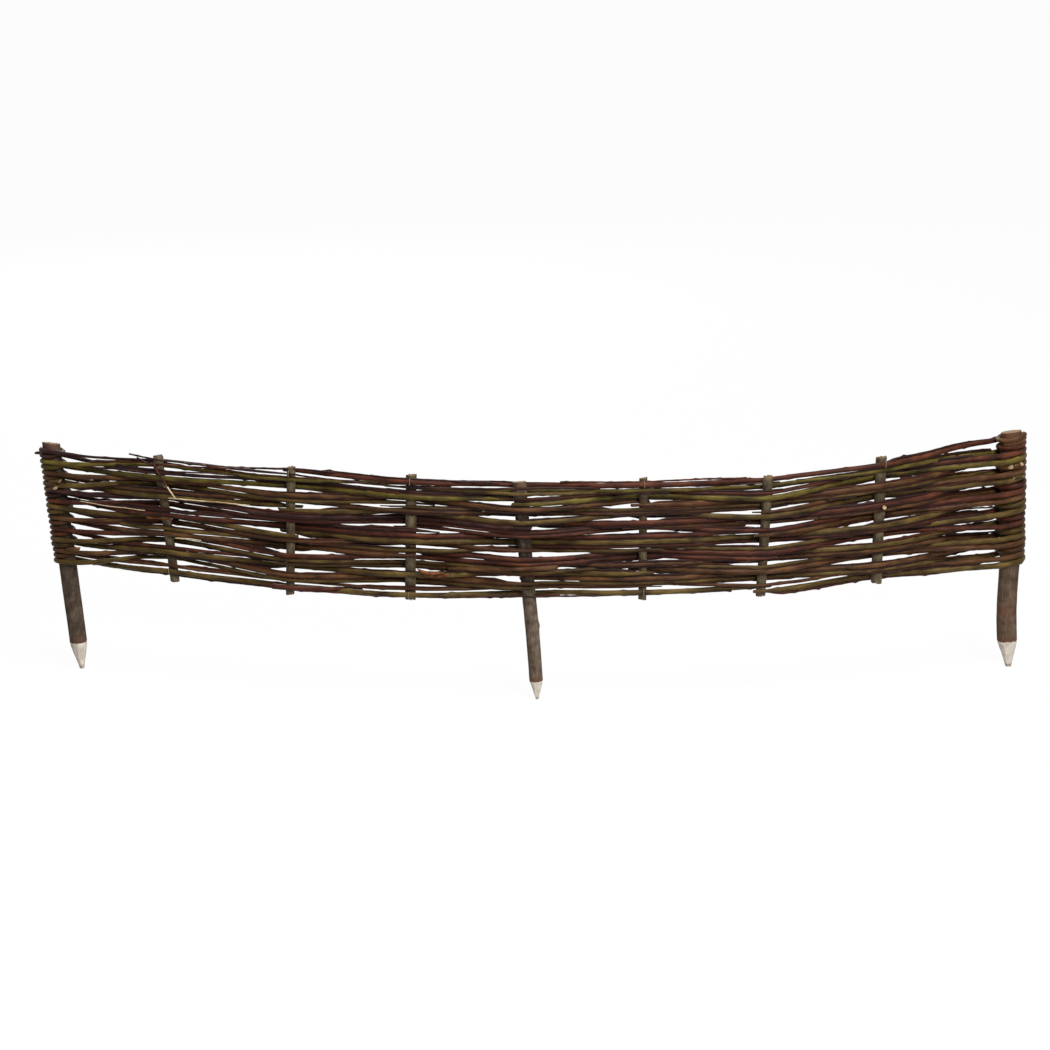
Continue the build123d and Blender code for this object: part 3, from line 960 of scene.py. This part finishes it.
# name: solid it belongs to, bark, thickness at both ends, then places along the bow, out and up, in mm
LOOSE = {
    "dark_twig": ("rod_left_12", "willow_purple", (2, 2.4), [
        (-483, 9, 277.5), (-467.1, 10, 275.8), (-451.1, 11, 274.2), (-431, 10, 273.2), (-395, 6, 270),
        (-365, 0, 268.2), (-330.1, -6, 267.7), (-296.4, -8, 267.9)]),
    "dark_fork": ("rod_left_12", "willow_purple", (1.9, 1.3), [
        (-472.3, 10, 274.2), (-458.5, 12, 269.1), (-447, 12, 265.2)]),
    "bent_twig": ("rod_left_11", "willow_red", (2.6, 1.8), [
        (-450.7, 12, 269.7), (-445.5, 13, 259.5), (-437.7, 14, 250.8), (-432.5, 14, 242.4)]),
    "bent_twig_end": ("rod_left_11", "peeled_straw", (1.8, 1.6), [
        (-433.8, 14, 244.5), (-430.5, 14, 239.3), (-426.8, 13.8, 234.2), (-423.1, 13, 229.2)]),
    "straw_twig": ("rod_left_10", "peeled_straw", (1.3, 1.2), [
        (-433.1, 12, 228.9), (-421.2, 13, 228.9), (-386.4, 12, 228.8), (-350.9, 8, 226.7),
        (-334, 4, 225.2)]),
    "pale_twig": ("rod_left_09", "peeled_straw", (0.8, 1.1), [
        (-549.2, 14, 215.2), (-522, 12, 212.6), (-464.7, 10, 210.6)]),
    "knobbed_twig": ("rod_left_05", "peeled_straw", (1.3, 1), [
        (-426.6, 11, 180.6), (-408.7, 11, 180.9), (-394.5, 9, 179.6)]),
    "stub_outside": ("rod_left_12", "willow_purple", (3.6, 4), [
        (-615.8, 2, 265), (-606, 4, 266.3), (-595, 10, 269.1)]),
    "stub_inside": ("rod_left_02", "willow_brown", (5.8, 6.2), [
        (-569, 13.5, 153.2), (-554.5, 13.5, 154.6)]),
    "coil_end_1": ("rod_left_10", "willow_olive", (4.6, 4), [
        (-590, 14, 234.5), (-573.7, 17.2, 238)]),
    "coil_end_2": ("rod_left_09", "willow_brown", (4.6, 4), [
        (-596.5, 13, 224), (-580.6, 17.2, 228.7)]),
    "coil_end_3": ("rod_right_10", "willow_brown", (5, 4.6), [
        (574.5, 16.5, 256), (586.7, 19.2, 258.9)]),
    "coil_end_4": ("rod_right_09", "willow_olive", (5, 4.6), [
        (578, 16.5, 242), (590.4, 18.6, 243.7)]),
    "cut_rod_low": ("rod_left_01", "willow_red", (6.2, 4.4), [
        (-311.9, 12, 132.2), (-297.6, 12.5, 131), (-274.4, 10, 130), (-239.5, 2, 129), (-205, -6, 129)]),
    "cut_rod_middle": ("rod_left_03", "willow_brown", (4, 5.6), [
        (-100, 4, 159), (-42, 14.5, 161.3), (-5.5, 15.5, 163.3), (23.1, 14, 164.5)]),
    "low_twig_1": ("rod_left_01", "willow_red", (2.2, 2.6), [
        (-307.7, 10, 128.3), (-274.7, 8.5, 127.1), (-240, 2, 125.1), (-199.4, -3, 121.9),
        (-158.5, -8, 120.3), (-98.6, 0, 123.1), (-40.1, 6, 127.1), (29.2, 2, 127.8)]),
    "low_twig_2": ("rod_right_01", "willow_purple", (2, 2.5), [
        (-74.6, 8, 126.6), (-16.9, 12, 128.7), (40.5, 9, 128.5), (87.2, 2, 126.9), (146.6, -6, 124.9),
        (230, 3, 128.5)]),
    "top_twig_2": ("rod_left_12", "willow_purple", (2, 2.4), [
        (-317.2, 6, 271.3), (-272.7, 2, 271.5), (-226.2, -2, 267.8), (-179.7, -6, 263.9),
        (-120.3, 2, 263.9), (-39.7, 9, 262.5)]),
    "top_twig_3": ("rod_right_12", "willow_red", (2, 2.2), [
        (28.9, -4, 261.4), (74.9, -2, 261.5), (120.4, 6, 262.5), (177.4, 4, 263.8), (248, -9, 259.8)]),
    "top_twig_1": ("rod_left_12", "willow_purple", (3, 1.6), [
        (-571.6, 6, 257.8), (-536.9, 4, 254.5), (-501.2, 0, 256.2), (-444.1, 8, 259.7), (-386.5, 9, 261.7),
        (-345.2, 4, 260.2)]),
    "top_twig_4": ("rod_left_12", "willow_red", (2.4, 1.8), [
        (-456.2, 9, 267.4), (-438.9, 10, 268.4), (-405.6, 8, 267.4), (-375.9, 4, 267.9),
        (-334.2, 0, 266.5)]),
    "top_twig_5": ("rod_left_12", "willow_purple", (2.2, 3), [
        (-280.1, -6, 262.1), (-237.7, 0, 260.1), (-189.3, 6, 258.1), (-141.1, 10.5, 256.6),
        (-96.9, 6, 255.3), (-56.9, 6, 255.3), (-15.7, 11.8, 257.7), (28.6, 6, 256.8), (74.6, 2, 255.4)]),
    "top_twig_7": ("rod_left_11", "willow_olive", (3.6, 4.4), [
        (-91.8, 0, 252.1), (-56.9, 7, 251.4), (-15.7, 13.8, 251.1), (28.6, 7, 249.9), (74.8, 0, 250.1)]),
    "top_twig_6": ("rod_right_12", "willow_purple", (2.6, 2.2), [
        (74.8, 0, 255.5), (123.2, 9, 257.5), (178.7, 2, 255.5), (234.1, -8, 252.8), (285.8, 0, 255.4)]),
    "end_twig_1": ("rod_right_10", "willow_red", (2.4, 1.6), [
        (589.7, -16, 245.1), (555.5, -10, 247.7), (522.7, -2, 250.2), (478.9, 4, 251.9),
        (434.4, 2, 251.4)]),
    "end_twig_2": ("rod_right_07", "willow_brown", (2.2, 1.4), [
        (592.5, -16, 198.3), (558.1, -10, 201.6), (525.1, -2, 204.9), (481.1, 4, 206.7),
        (443.3, 1, 205.5)]),
    "end_twig_3": ("rod_right_05", "willow_purple", (2.4, 1.6), [
        (594.5, -16, 166.6), (559.9, -10, 170.5), (526.7, -2, 174.7), (482.4, 4, 178.4), (438, 1, 177.9)]),
    "end_twig_4": ("rod_right_03", "willow_red", (2.4, 1.6), [
        (596.1, -16, 139.8), (561.4, -10, 143.4), (528.1, -2, 146.7), (483.8, 4, 149.4),
        (445.8, 1, 147.7)]),
    "torn_bark_1": ("rod_left_02", "torn_bark", (4.2, 3), [
        (-132.3, 15.5, 158.8), (-119.6, 16.5, 156.4), (-104.7, 16, 157.2)]),
    "torn_bark_2": ("rod_left_02", "torn_bark", (2.4, 3.6), [
        (-125.5, 15, 152.8), (-111.6, 16, 152.9), (-98, 15, 154.7)]),
    "torn_bark_3": ("rod_left_08", "torn_bark", (2.4, 2), [
        (-461.6, 14, 203.3), (-443, 15, 204), (-428.1, 14, 203.8)]),
    "pale_knot": ("upright_6", "pale_wood_bark", (5.2, 4.6), [
        (409.7, 15, 221.1), (406.9, 21.5, 222.5)]),
}
print("loose pieces laid out by hand:", len(LOOSE))

# %% [markdown]
# ## The last turn round the right stake
#
# The topmost rod of the right half ends in one more turn round the head of its stake. It slopes as it
# goes, and it climbs towards its end. A ring of places worked out from an angle draws it better than
# places set by hand could. It joins the list, in mm as the others are.

# %% Wind the last turn
TURN_RADIUS = 15.6
TURN_SLOPE = 3.4
TURN_CLIMB = 5.0
TURN_FROM, TURN_TO = 412, -75
TURN_ABOVE_COIL = 1.0
top_rod = SLOTS // 2 - 1
turn_height = 1000 * coil_height("right", top_rod, COIL_TURNS["right"][top_rod]) + TURN_ABOVE_COIL
turn_place = 1000 * place_at(LAST, 0.287)
last_turn = []
for degrees in range(TURN_FROM, TURN_TO, -12):
    way = math.radians(degrees)
    last_turn.append((turn_place + TURN_RADIUS * math.sin(way), TURN_RADIUS * math.cos(way),
                      turn_height + TURN_SLOPE * math.sin(way) + TURN_CLIMB * degrees / 360))
LOOSE["top_turn"] = ("rod_right_12", "willow_brown", (5.8, 5.0), last_turn)
print("places in the last turn:", len(last_turn))

# %% [markdown]
# ## Wood for the loose pieces
#
# Each list becomes a line and then a rod of its own, with the same mesh maker as the woven rods. Twigs
# are thin, with clear buds and ends that taper out. Cut rods end in a slanting pruning cut. Torn bark
# is the same tube with a ragged surface.

# %% Make the loose pieces
TWIG_LIMIT = 0.003
for number, (name, (solid, bark, ends, stations)) in enumerate(LOOSE.items()):
    # The last turn is even enough already, and the shortest lists have to keep their ends
    path = bend_line(np.array(stations) / 1000, rounds=60 if 3 < len(stations) < 12 else 3)
    wobble = 0.0004 * waves(700 + number, path[:, 0], longest=0.08, shortest=0.015)
    path[:, 2] += wobble * fade(np.arange(len(path)), 0, 12)
    line = on_bow(path[:, 0], path[:, 1], path[:, 2])
    size = np.linspace(ends[0] / 1000, ends[1] / 1000, len(line))
    twiggy = max(size) < TWIG_LIMIT
    ragged = 0.3 if name.startswith("torn") else 0.05
    skin = rod_skin(line, size, 500 + number, sides=10, cuts=(0, 0) if twiggy else (0.7, 0.7), thin=0.0,
                    joint_gap=0.016, bud=0.35 if twiggy else 0.1, swell=0.14 if twiggy else 0.05,
                    rough=ragged)
    end_wood = pale_end if name.startswith(("coil_end", "pale_knot")) else cut_end
    piece = put_mesh(name, skin, [(willow | stray_bark)[bark], end_wood])
    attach(piece, "root")
    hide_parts(solid)
print("loose twigs and ends:", len(LOOSE))

# %% [markdown]
# ## Stakes and sticks
#
# A stake is a small round trunk. Its radius is a value over angle and height: a slow swell, ridges in
# the bark, and at the foot the nearest of the flat planes that the hatchet left. Taking the smallest
# of these distances gives crisp facets in one closed mesh, and the faces on a facet get pale wood.

# %% A standing piece of wood
def upright_frame(k):
    """The foot of an upright's axis, and its directions: up along it, out from the bow, and across."""
    low = on_bow(place_at(k, 0.0), 0, 0.0)
    high = on_bow(place_at(k, 0.4), 0, 0.4)
    up = (high - low) / np.linalg.norm(high - low)
    turn = place_at(k, 0.2) / BOW_RADIUS
    out = np.array([math.sin(turn), -math.cos(turn), 0.0])
    out -= up * (out @ up)
    out /= np.linalg.norm(out)
    return low, up, out, np.cross(up, out)


print("the right stake leans", round(math.degrees(math.acos(upright_frame(LAST)[1][2])), 1), "degrees")

# %% [markdown]
# ## The body of a trunk
#
# The bark's distance from the axis is a value for every ring and every direction. A hewn point needs
# rings close together, or its facets would have soft edges. A few knots stand out where branches were.

# %% Rings and knots
POINT_STEP = 0.0006
KNOT = 0.0011


def angle_between(a, b):
    return (a - b + math.pi) % (2 * math.pi) - math.pi


def trunk_levels(low, high, step, point_length):
    """Heights of the rings, close together over a hewn point."""
    if not point_length:
        return np.append(np.arange(low, high, step), high)
    above = low + point_length * 1.15
    return np.concatenate([np.arange(low, above, POINT_STEP), np.arange(above, high, step), [high]])


def trunk_body(z, a, radius, rough, seed, low, high, knots):
    """Distance of the bark from the axis, with a slow swell and a few knots."""
    rng = np.random.default_rng(seed)
    swell = waves(seed, np.cos(a), np.sin(a), z / 0.06, longest=2.2, shortest=0.35, count=6)
    body = radius * (1 + rough * swell)
    body *= 1 + 0.012 * np.sin(3 * a + seed) * np.sin(z / 0.03 + seed)
    for _ in range(knots):
        knot, where = rng.uniform(low + 0.25 * (high - low), high), rng.uniform(0, 6.28)
        body += KNOT * np.exp(-((z - knot) / 0.004) ** 2 - (angle_between(a, where) / 0.35) ** 2)
    return body


sample_levels = trunk_levels(0.0, 0.27, 0.0015, 0.035)
print("rings in a stake 0.27 m long:", len(sample_levels))

# %% [markdown]
# ## The hewn point
#
# A few strokes of a hatchet take slices off all round, and each slice is a flat plane that leans in
# towards the tip. At every place the plane nearest to the axis wins. The bark ends where the planes
# begin, and every second facet has a faint ripple, as a blade leaves in green wood.

# %% Facets of a point
BARK_LINE = 0.95  # share of the point's length at which the bark ends
FAR = 9.0  # a distance beyond any wood
EDGE_ON = 0.15  # a plane seen flatter than this isn't met on this side


def hew(z, a, body, radius, low, point):
    """The body cut by the planes of a point, and where its faces are bare wood."""
    length, tip, facets = point
    cut = np.full(z.shape, FAR)
    for i in range(facets):
        where = 2 * math.pi * (i + 0.12 * math.sin(2.3 * i)) / facets
        rise = length * (1 - 0.06 * (i % 3) / 2)
        lean = (radius - tip / 2) / rise
        reach = tip / 2 + (z - low) * lean + 0.00025 * np.sin((z - low) / 0.004 + i) * (i % 2)
        facing = np.cos(a - where)
        cut = np.minimum(cut, np.where(facing > EDGE_ON, reach / np.maximum(facing, EDGE_ON), FAR))
    below = z < low + BARK_LINE * length
    bare = (cut < body - 0.0002) | below
    body = np.where(below, body - 0.0004, body)
    return np.minimum(cut, body), bare


def point_stain(up_by, length, whole, seed):
    """How stained the wood is: at the tip, just above the bark line and round the top cut."""
    stain = np.where(up_by < 0.955 * length, 1 - fade(up_by, 0.0, 0.20 * length),
                     1 - fade(up_by - length, 0.0, 0.010))
    stain = np.maximum(stain, fade(up_by, whole - 0.011, whole - 0.004))
    return stain * (0.75 + 0.25 * waves(seed, up_by / 0.01, longest=2, shortest=0.4))


print("share of a point's length below the bark:", BARK_LINE)

# %% [markdown]
# ## One standing piece of wood
#
# The rings from foot to head give the sides. A slanting cut lifts the last rings on one side and
# lowers them on the other, most at the edge itself. The end faces close in over a few rings, so that
# the cut can be slightly rough. Which faces get bark and which get bare wood is settled face by face.

# %% Close and dress a stick
# Sizes of the rings that close an end, as shares of its rim
END_SHARES = (0.72, 0.42, 0.15)
SHANK_BOW_TOP = 0.135  # the height at which a bowed shank is back on its axis


def cut_lift(z, a, body, low, high, slope_top, slope_foot, ragged, seed):
    """How far the cuts lift the rings near the head and, on a stick, near the foot."""
    top_share = np.clip((z - (high - 0.02)) / 0.02, 0, 1)
    foot_share = np.clip(((low + 0.012) - z) / 0.012, 0, 1)
    top_lift = body * (np.cos(a) * math.tan(slope_top[0]) + np.sin(a) * math.tan(slope_top[1]))
    foot_lift = body * (np.cos(a) * math.tan(slope_foot[0]) + np.sin(a) * math.tan(slope_foot[1]))
    torn = ragged * waves(seed + 5, np.cos(a) * 2, np.sin(a) * 2, longest=1.5, shortest=0.2, count=6)
    return top_share * (top_lift + torn), foot_share * (foot_lift - torn)


def close_end(skin, ring, grain, first, up, angle, seed, at_foot, kind):
    """Adds rings that close in on the middle of an end, and a fan of faces inside the last one."""
    sides = len(ring)
    middle = ring.mean(0)
    previous, count = first, skin["count"]
    for share in END_SHARES:
        rough = waves(seed + int(100 * share), angle / 2, longest=2.2, shortest=0.5)
        inner = middle + (ring - middle) * share
        skin["verts"].append(inner + up * (0.0003 * (-1 if at_foot else 1) * rough[:, None]))
        skin["grain"].append(grain * np.array([share, share, 1]))
        for j in range(sides):
            n = (j + 1) % sides
            quad = [previous + j, previous + n, count + n, count + j]
            skin["faces"].append(quad[::-1] if at_foot else quad)
        previous, count = count, count + sides
    skin["verts"].append(middle[None])
    skin["grain"].append(grain.mean(0)[None])
    for j in range(sides):
        pair = [previous + j, previous + (j + 1) % sides]
        skin["faces"].append([count] + (pair[::-1] if at_foot else pair))
    added = sides * (len(END_SHARES) + 1)
    skin["kinds"] += [kind] * added
    skin["smooth"] += [False] * added
    skin["count"] = count + 1


def make_trunk(name, k, low, high, materials, seed, sides=56, point=None, slope_top=(0.0, 0.0),
               slope_foot=(0.0, 0.0), rough=0.025, ragged=0.0004, step=0.0015, scar=None, shaded=None,
               bow=0.0):
    """A standing stick from low to high along its axis. point is (length, tip size, facet count)."""
    foot, up, out, across = upright_frame(k)
    radius = upright_radius(k)
    angle = np.linspace(0, 2 * math.pi, sides, endpoint=False)
    z, a = np.meshgrid(trunk_levels(low, high, step, point[0] if point else 0), angle, indexing="ij")
    body = trunk_body(z, a, radius, rough, seed, low, high, 3 if point else 1)
    face_kind = np.zeros(z.shape, int)
    # Faces within the shaded span get the darker bark: painted shade behind the weave
    if shaded:
        face_kind[(z > shaded[0]) & (z < shaded[1])] = 3
    if scar:
        spot = ((z - scar[0]) / 0.0034) ** 2 + (angle_between(a, scar[1]) * radius / 0.0024) ** 2
        face_kind = np.where(spot < 1, 2, 0)
        body = body + 0.0006 * np.exp(-spot)
    if point:
        body, bare = hew(z, a, body, radius, low, point)
        face_kind = np.where(bare, 1, face_kind)
    top_lift, foot_lift = cut_lift(z, a, body, low, high, slope_top, slope_foot, ragged, seed)
    lift = top_lift + foot_lift * (0 if point else 1)
    if point:
        prongs = waves(seed + 9, np.cos(a) * 2, np.sin(a) * 2, longest=1.2, shortest=0.5, count=3)
        lift += 0.006 * np.maximum(0, prongs) * (1 - fade(z, low, low + 0.007))
    bowed = bow * np.sin(math.pi * np.clip(z / SHANK_BOW_TOP, 0, 1))
    points = (foot + up * (z + lift)[..., None] + out * (body * np.cos(a))[..., None]
              + across * (body * np.sin(a) + bowed)[..., None])
    grain = np.stack([body * np.cos(a), body * np.sin(a), z + seed], -1)
    kinds = face_kind[:-1].ravel().tolist()
    skin = {"verts": [points.reshape(-1, 3)], "grain": [grain.reshape(-1, 3)],
            "faces": tube_faces(len(z), sides), "kinds": kinds, "smooth": [kind == 0 for kind in kinds],
            "count": z.size}
    close_end(skin, points[0], grain[0], 0, up, angle, seed, True, 1 if point else 2)
    close_end(skin, points[-1], grain[-1], z.size - sides, up, angle, seed, False, 2)
    skin["verts"] = np.concatenate(skin["verts"])
    skin["grain"] = np.concatenate(skin["grain"])
    # What the points remember: stain at the tip of a point, and rust where its bark begins
    skin["thin"] = np.zeros(len(skin["verts"]))
    if point:
        skin["thin"] = point_stain((skin["verts"] - foot) @ up - low, point[0], high - low, seed)
    return put_mesh(name, skin, materials)


print("rings that close an end:", len(END_SHARES))

# %% [markdown]
# ## The three stakes
#
# The stakes carry the panel and go into the ground. Each has its own point and its own slope of top
# cut, and no stake is quite straight: the middle and right shanks are bowed a little sideways below
# the weave. Each dressed stake stands for its solid.

# %% Set the stakes
# How far each upright stands past the weave, above and below it
PAST_TOP = [0.0105, 0.006, 0.0032, 0.0032, 0.005, 0.0032, 0.0034, 0.0032, 0.0075]
PAST_BOTTOM = [0, 0.011, 0.0034, 0.004, 0, 0.008, 0.0042, 0.0034, 0]
# Length of the point, width of its tip and count of its facets. Slopes of the top cut, in degrees,
# outwards and sideways. How far the shank is bowed sideways
STAKE_POINTS = {0: (0.035, 0.005, 10), 4: (0.024, 0.003, 8), LAST: (0.036, 0.0065, 10)}
STAKE_TOPS = {0: (12, -8), 4: (9, 0), LAST: (9, 3)}
STAKE_BOWS = {0: 0.0, 4: 0.0010, LAST: -0.0034}
for k, point in STAKE_POINTS.items():
    name = UPRIGHTS[k][0]
    high = weave_edge(k, True) + PAST_TOP[k]
    # From the third slot to the twenty-first the stake gets the darker bark, painted shade within the weave
    piece = make_trunk(name + "_wood", k, 0.0, high, [stake_bark[k], hewn_wood, top_cut, painted_shade_bark], 40 + k,
                       point=point, slope_top=[math.radians(slope) for slope in STAKE_TOPS[k]],
                       bow=STAKE_BOWS[k], shaded=(STACKS[k][2], STACKS[k][20]))
    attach(piece, "root")
    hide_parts(name)
    print(name, "stands", round(float(high), 3), "m high")

# %% [markdown]
# ## The six short uprights
#
# The six short uprights are thinner sticks. Their ends were broken or sawn roughly, so both ends
# slant and the rim is ragged. They use the same maker as the stakes, without a point.

# %% Set the short uprights
BRANCH_SCAR = (0.2191, 0.35)  # height and direction of the scar that a branch left on the last stick
for k in range(1, LAST):
    if k in STAKE_POINTS:
        continue
    name = UPRIGHTS[k][0]
    low = weave_edge(k, False) - PAST_BOTTOM[k]
    high = weave_edge(k, True) + PAST_TOP[k]
    lean = math.radians(6 if k % 2 else -5)
    scar = BRANCH_SCAR if k == LAST - 1 else None
    piece = make_trunk(name + "_stick", k, low, high, [stick_bark, hewn_wood, broken_end], 60 + k, sides=36,
                       slope_top=(lean, 0.1), slope_foot=(0.0, -lean), rough=0.04, ragged=0.0014, step=0.0012,
                       scar=scar)
    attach(piece, "root")
    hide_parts(name)
print("short uprights:", LAST + 1 - len(STAKE_POINTS))

# %% [markdown]
# ## Wire staples
#
# A staple over the lowest and the highest rod ties it to each short upright. It is a thin round wire,
# bent twice. A curve with a round bevel would do, but the rod mesh maker already gives a closed tube,
# so the wire is made as a very thin rod without joints or buds.

# %% Drive the staples
STAPLE_DEPTH = 0.38  # where a leg ends, as a share of the stick's radius
WIRE_SHARE = 0.85  # weathered wire is thinner than new wire


def staple_line(k, slot):
    half = "left" if k <= MEETING[slot] else "right"
    size = float(leg_diameter(half, rod_of(slot), slot, from_stake(half, k)))
    side = side_of(slot, k, half)
    _, up, out, _ = upright_frame(k)
    height = STACKS[k][slot]
    centre = on_bow(place_at(k, height), 0, height)
    seat = (upright_radius(k) + size / 2 + SEAT_GAP) * SLANT_ROOM
    crown = seat + size / 2 + WIRE_GAP + WIRE / 2
    inner = upright_radius(k) * STAPLE_DEPTH
    spread_by = (size + 2 * WIRE_GAP + WIRE) / 2
    bend = WIRE
    corners = []
    for end in (-1, 1):
        turn = np.linspace(0, math.pi / 2, 6)
        reach = crown - bend + bend * np.sin(turn)
        rise = spread_by - bend + bend * np.cos(turn)
        arc = np.stack([reach, rise * end], 1)
        leg = np.stack([np.linspace(inner, crown - bend, 5)[:-1], np.full(4, spread_by * end)], 1)
        corners.append(np.concatenate([leg, arc]))
    path = np.concatenate([corners[0], corners[1][::-1]])
    return centre + side * out * path[:, :1] + up * path[:, 1:]


for k in range(1, LAST):
    if k in STAKE_POINTS:
        continue
    for slot, end in ((0, "bottom"), (SLOTS - 1, "top")):
        number = UPRIGHTS[k][0].split("_")[1]
        line = staple_line(k, slot)
        skin = rod_skin(line, np.full(len(line), WIRE_SHARE * WIRE), k, sides=10, kinds=(0, 0), cuts=(0, 0),
                        thin=0.0, bud=0.0, swell=0.0, rough=0.0)
        piece = put_mesh(f"wire_{end}_{number}", skin, [wire])
        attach(piece, "root")
        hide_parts(f"staple_{end}_{number}")
print("staples driven")

# %% [markdown]
# ## The ground
#
# The panel stands on a plain white floor in front of white. The floor shines white to the camera, and
# a small share of plain paint in it keeps a faint shadow.

# %% Lay the floor
FLOOR_REACH = 60
FLOOR_HEIGHT = -0.0012


def seen_directly(tree):
    """1 for rays from the camera, and for rays that gloss or glass sends on."""
    rays = tree.nodes.new("ShaderNodeLightPath").outputs
    seen = sums(tree, rays["Is Camera Ray"], rays["Is Glossy Ray"], "MAXIMUM")
    return sums(tree, seen, rays["Is Transmission Ray"], "MAXIMUM")


corners = [(x * FLOOR_REACH, y * FLOOR_REACH, FLOOR_HEIGHT) for x, y in ((-1, -1), (1, -1), (1, 1), (-1, 1))]
floor_mesh = bpy.data.meshes.new("floor")
floor_mesh.from_pydata(corners, [], [(0, 1, 2, 3)])
floor = bpy.data.objects.new("floor", floor_mesh)
bpy.context.scene.collection.objects.link(floor)
floor_paint = bpy.data.materials.new("white_floor")
floor_paint.use_nodes = True
tree = floor_paint.node_tree
paint = tree.nodes["Principled BSDF"]
paint.inputs["Base Color"].default_value = (0.5, 0.5, 0.5, 1)
paint.inputs["Roughness"].default_value = 0.9
paint.inputs["Specular IOR Level"].default_value = 0.0
white = node(tree, "ShaderNodeEmission", {"Color": (1, 1, 1, 1), "Strength": 1.04})
share = sums(tree, seen_directly(tree), 0.93)
both = node(tree, "ShaderNodeMixShader", {0: share, 1: paint.outputs[0], 2: white.outputs[0]})
tree.links.new(both.outputs[0], tree.nodes["Material Output"].inputs["Surface"])
floor_mesh.materials.append(floor_paint)
print("floor laid, reaching", FLOOR_REACH, "m each way")

# %% [markdown]
# ## World and lamps
#
# The world is white to the camera but lights the wood faintly, so that the lamps can shape it. The
# lamps are large squares, because a small lamp would draw hard shadows through the weave.

# %% Light the panel
world = bpy.data.worlds.new("white room")
bpy.context.scene.world = world
world.use_nodes = True
tree = world.node_tree
strength = spread(tree, seen_directly(tree), 0.0, 1.0, 0.10, 1.0)
tree.links.new(strength, tree.nodes["Background"].inputs["Strength"])
tree.nodes["Background"].inputs["Color"].default_value = (1, 1, 1, 1)


PANEL_MIDDLE = (0, 0, 0.2)


def softbox(name, place, size, power):
    lamp = bpy.data.lights.new(name, "AREA")
    lamp.shape, lamp.size, lamp.energy = "SQUARE", size, power
    holder = bpy.data.objects.new(name, lamp)
    bpy.context.scene.collection.objects.link(holder)
    direction = np.array(PANEL_MIDDLE) - np.array(place)
    holder.location = place
    holder.rotation_euler = Vector(direction.tolist()).to_track_quat("-Z", "Y").to_euler()


softbox("front light", (1.2, -2.8, 1.7), 0.9, 60)
softbox("top light", (0.4, -0.8, 2.4), 1.0, 46)
softbox("back light", (-0.8, 3.2, 1.5), 1.2, 42)
print("three lamps and a white room")

# %% [markdown]
# ## The camera
#
# A long lens a little under three metres away looks down at fifteen degrees. The bow of the panel
# then shows as a curve, lowest at the middle stake, and the backs of the weave show between the rods.

# %% Set the camera
CAMERA_PLACE = (-0.00146, BOW_CENTRE_Y - 4.15258, 0.95026)
CAMERA_TILT = math.radians(75.0)
CAMERA_TURN = math.radians(0.2053)
lens = bpy.data.cameras.new("camera")
lens.lens, lens.sensor_width = 85.0, 36.0
camera = bpy.data.objects.new("camera", lens)
camera.location = CAMERA_PLACE
camera.rotation_euler = (CAMERA_TILT, 0.0, CAMERA_TURN)
bpy.context.scene.collection.objects.link(camera)
bpy.context.scene.camera = camera
bpy.context.scene.view_settings.view_transform = "Standard"
print("camera stands at", tuple(round(x, 3) for x in camera.location))
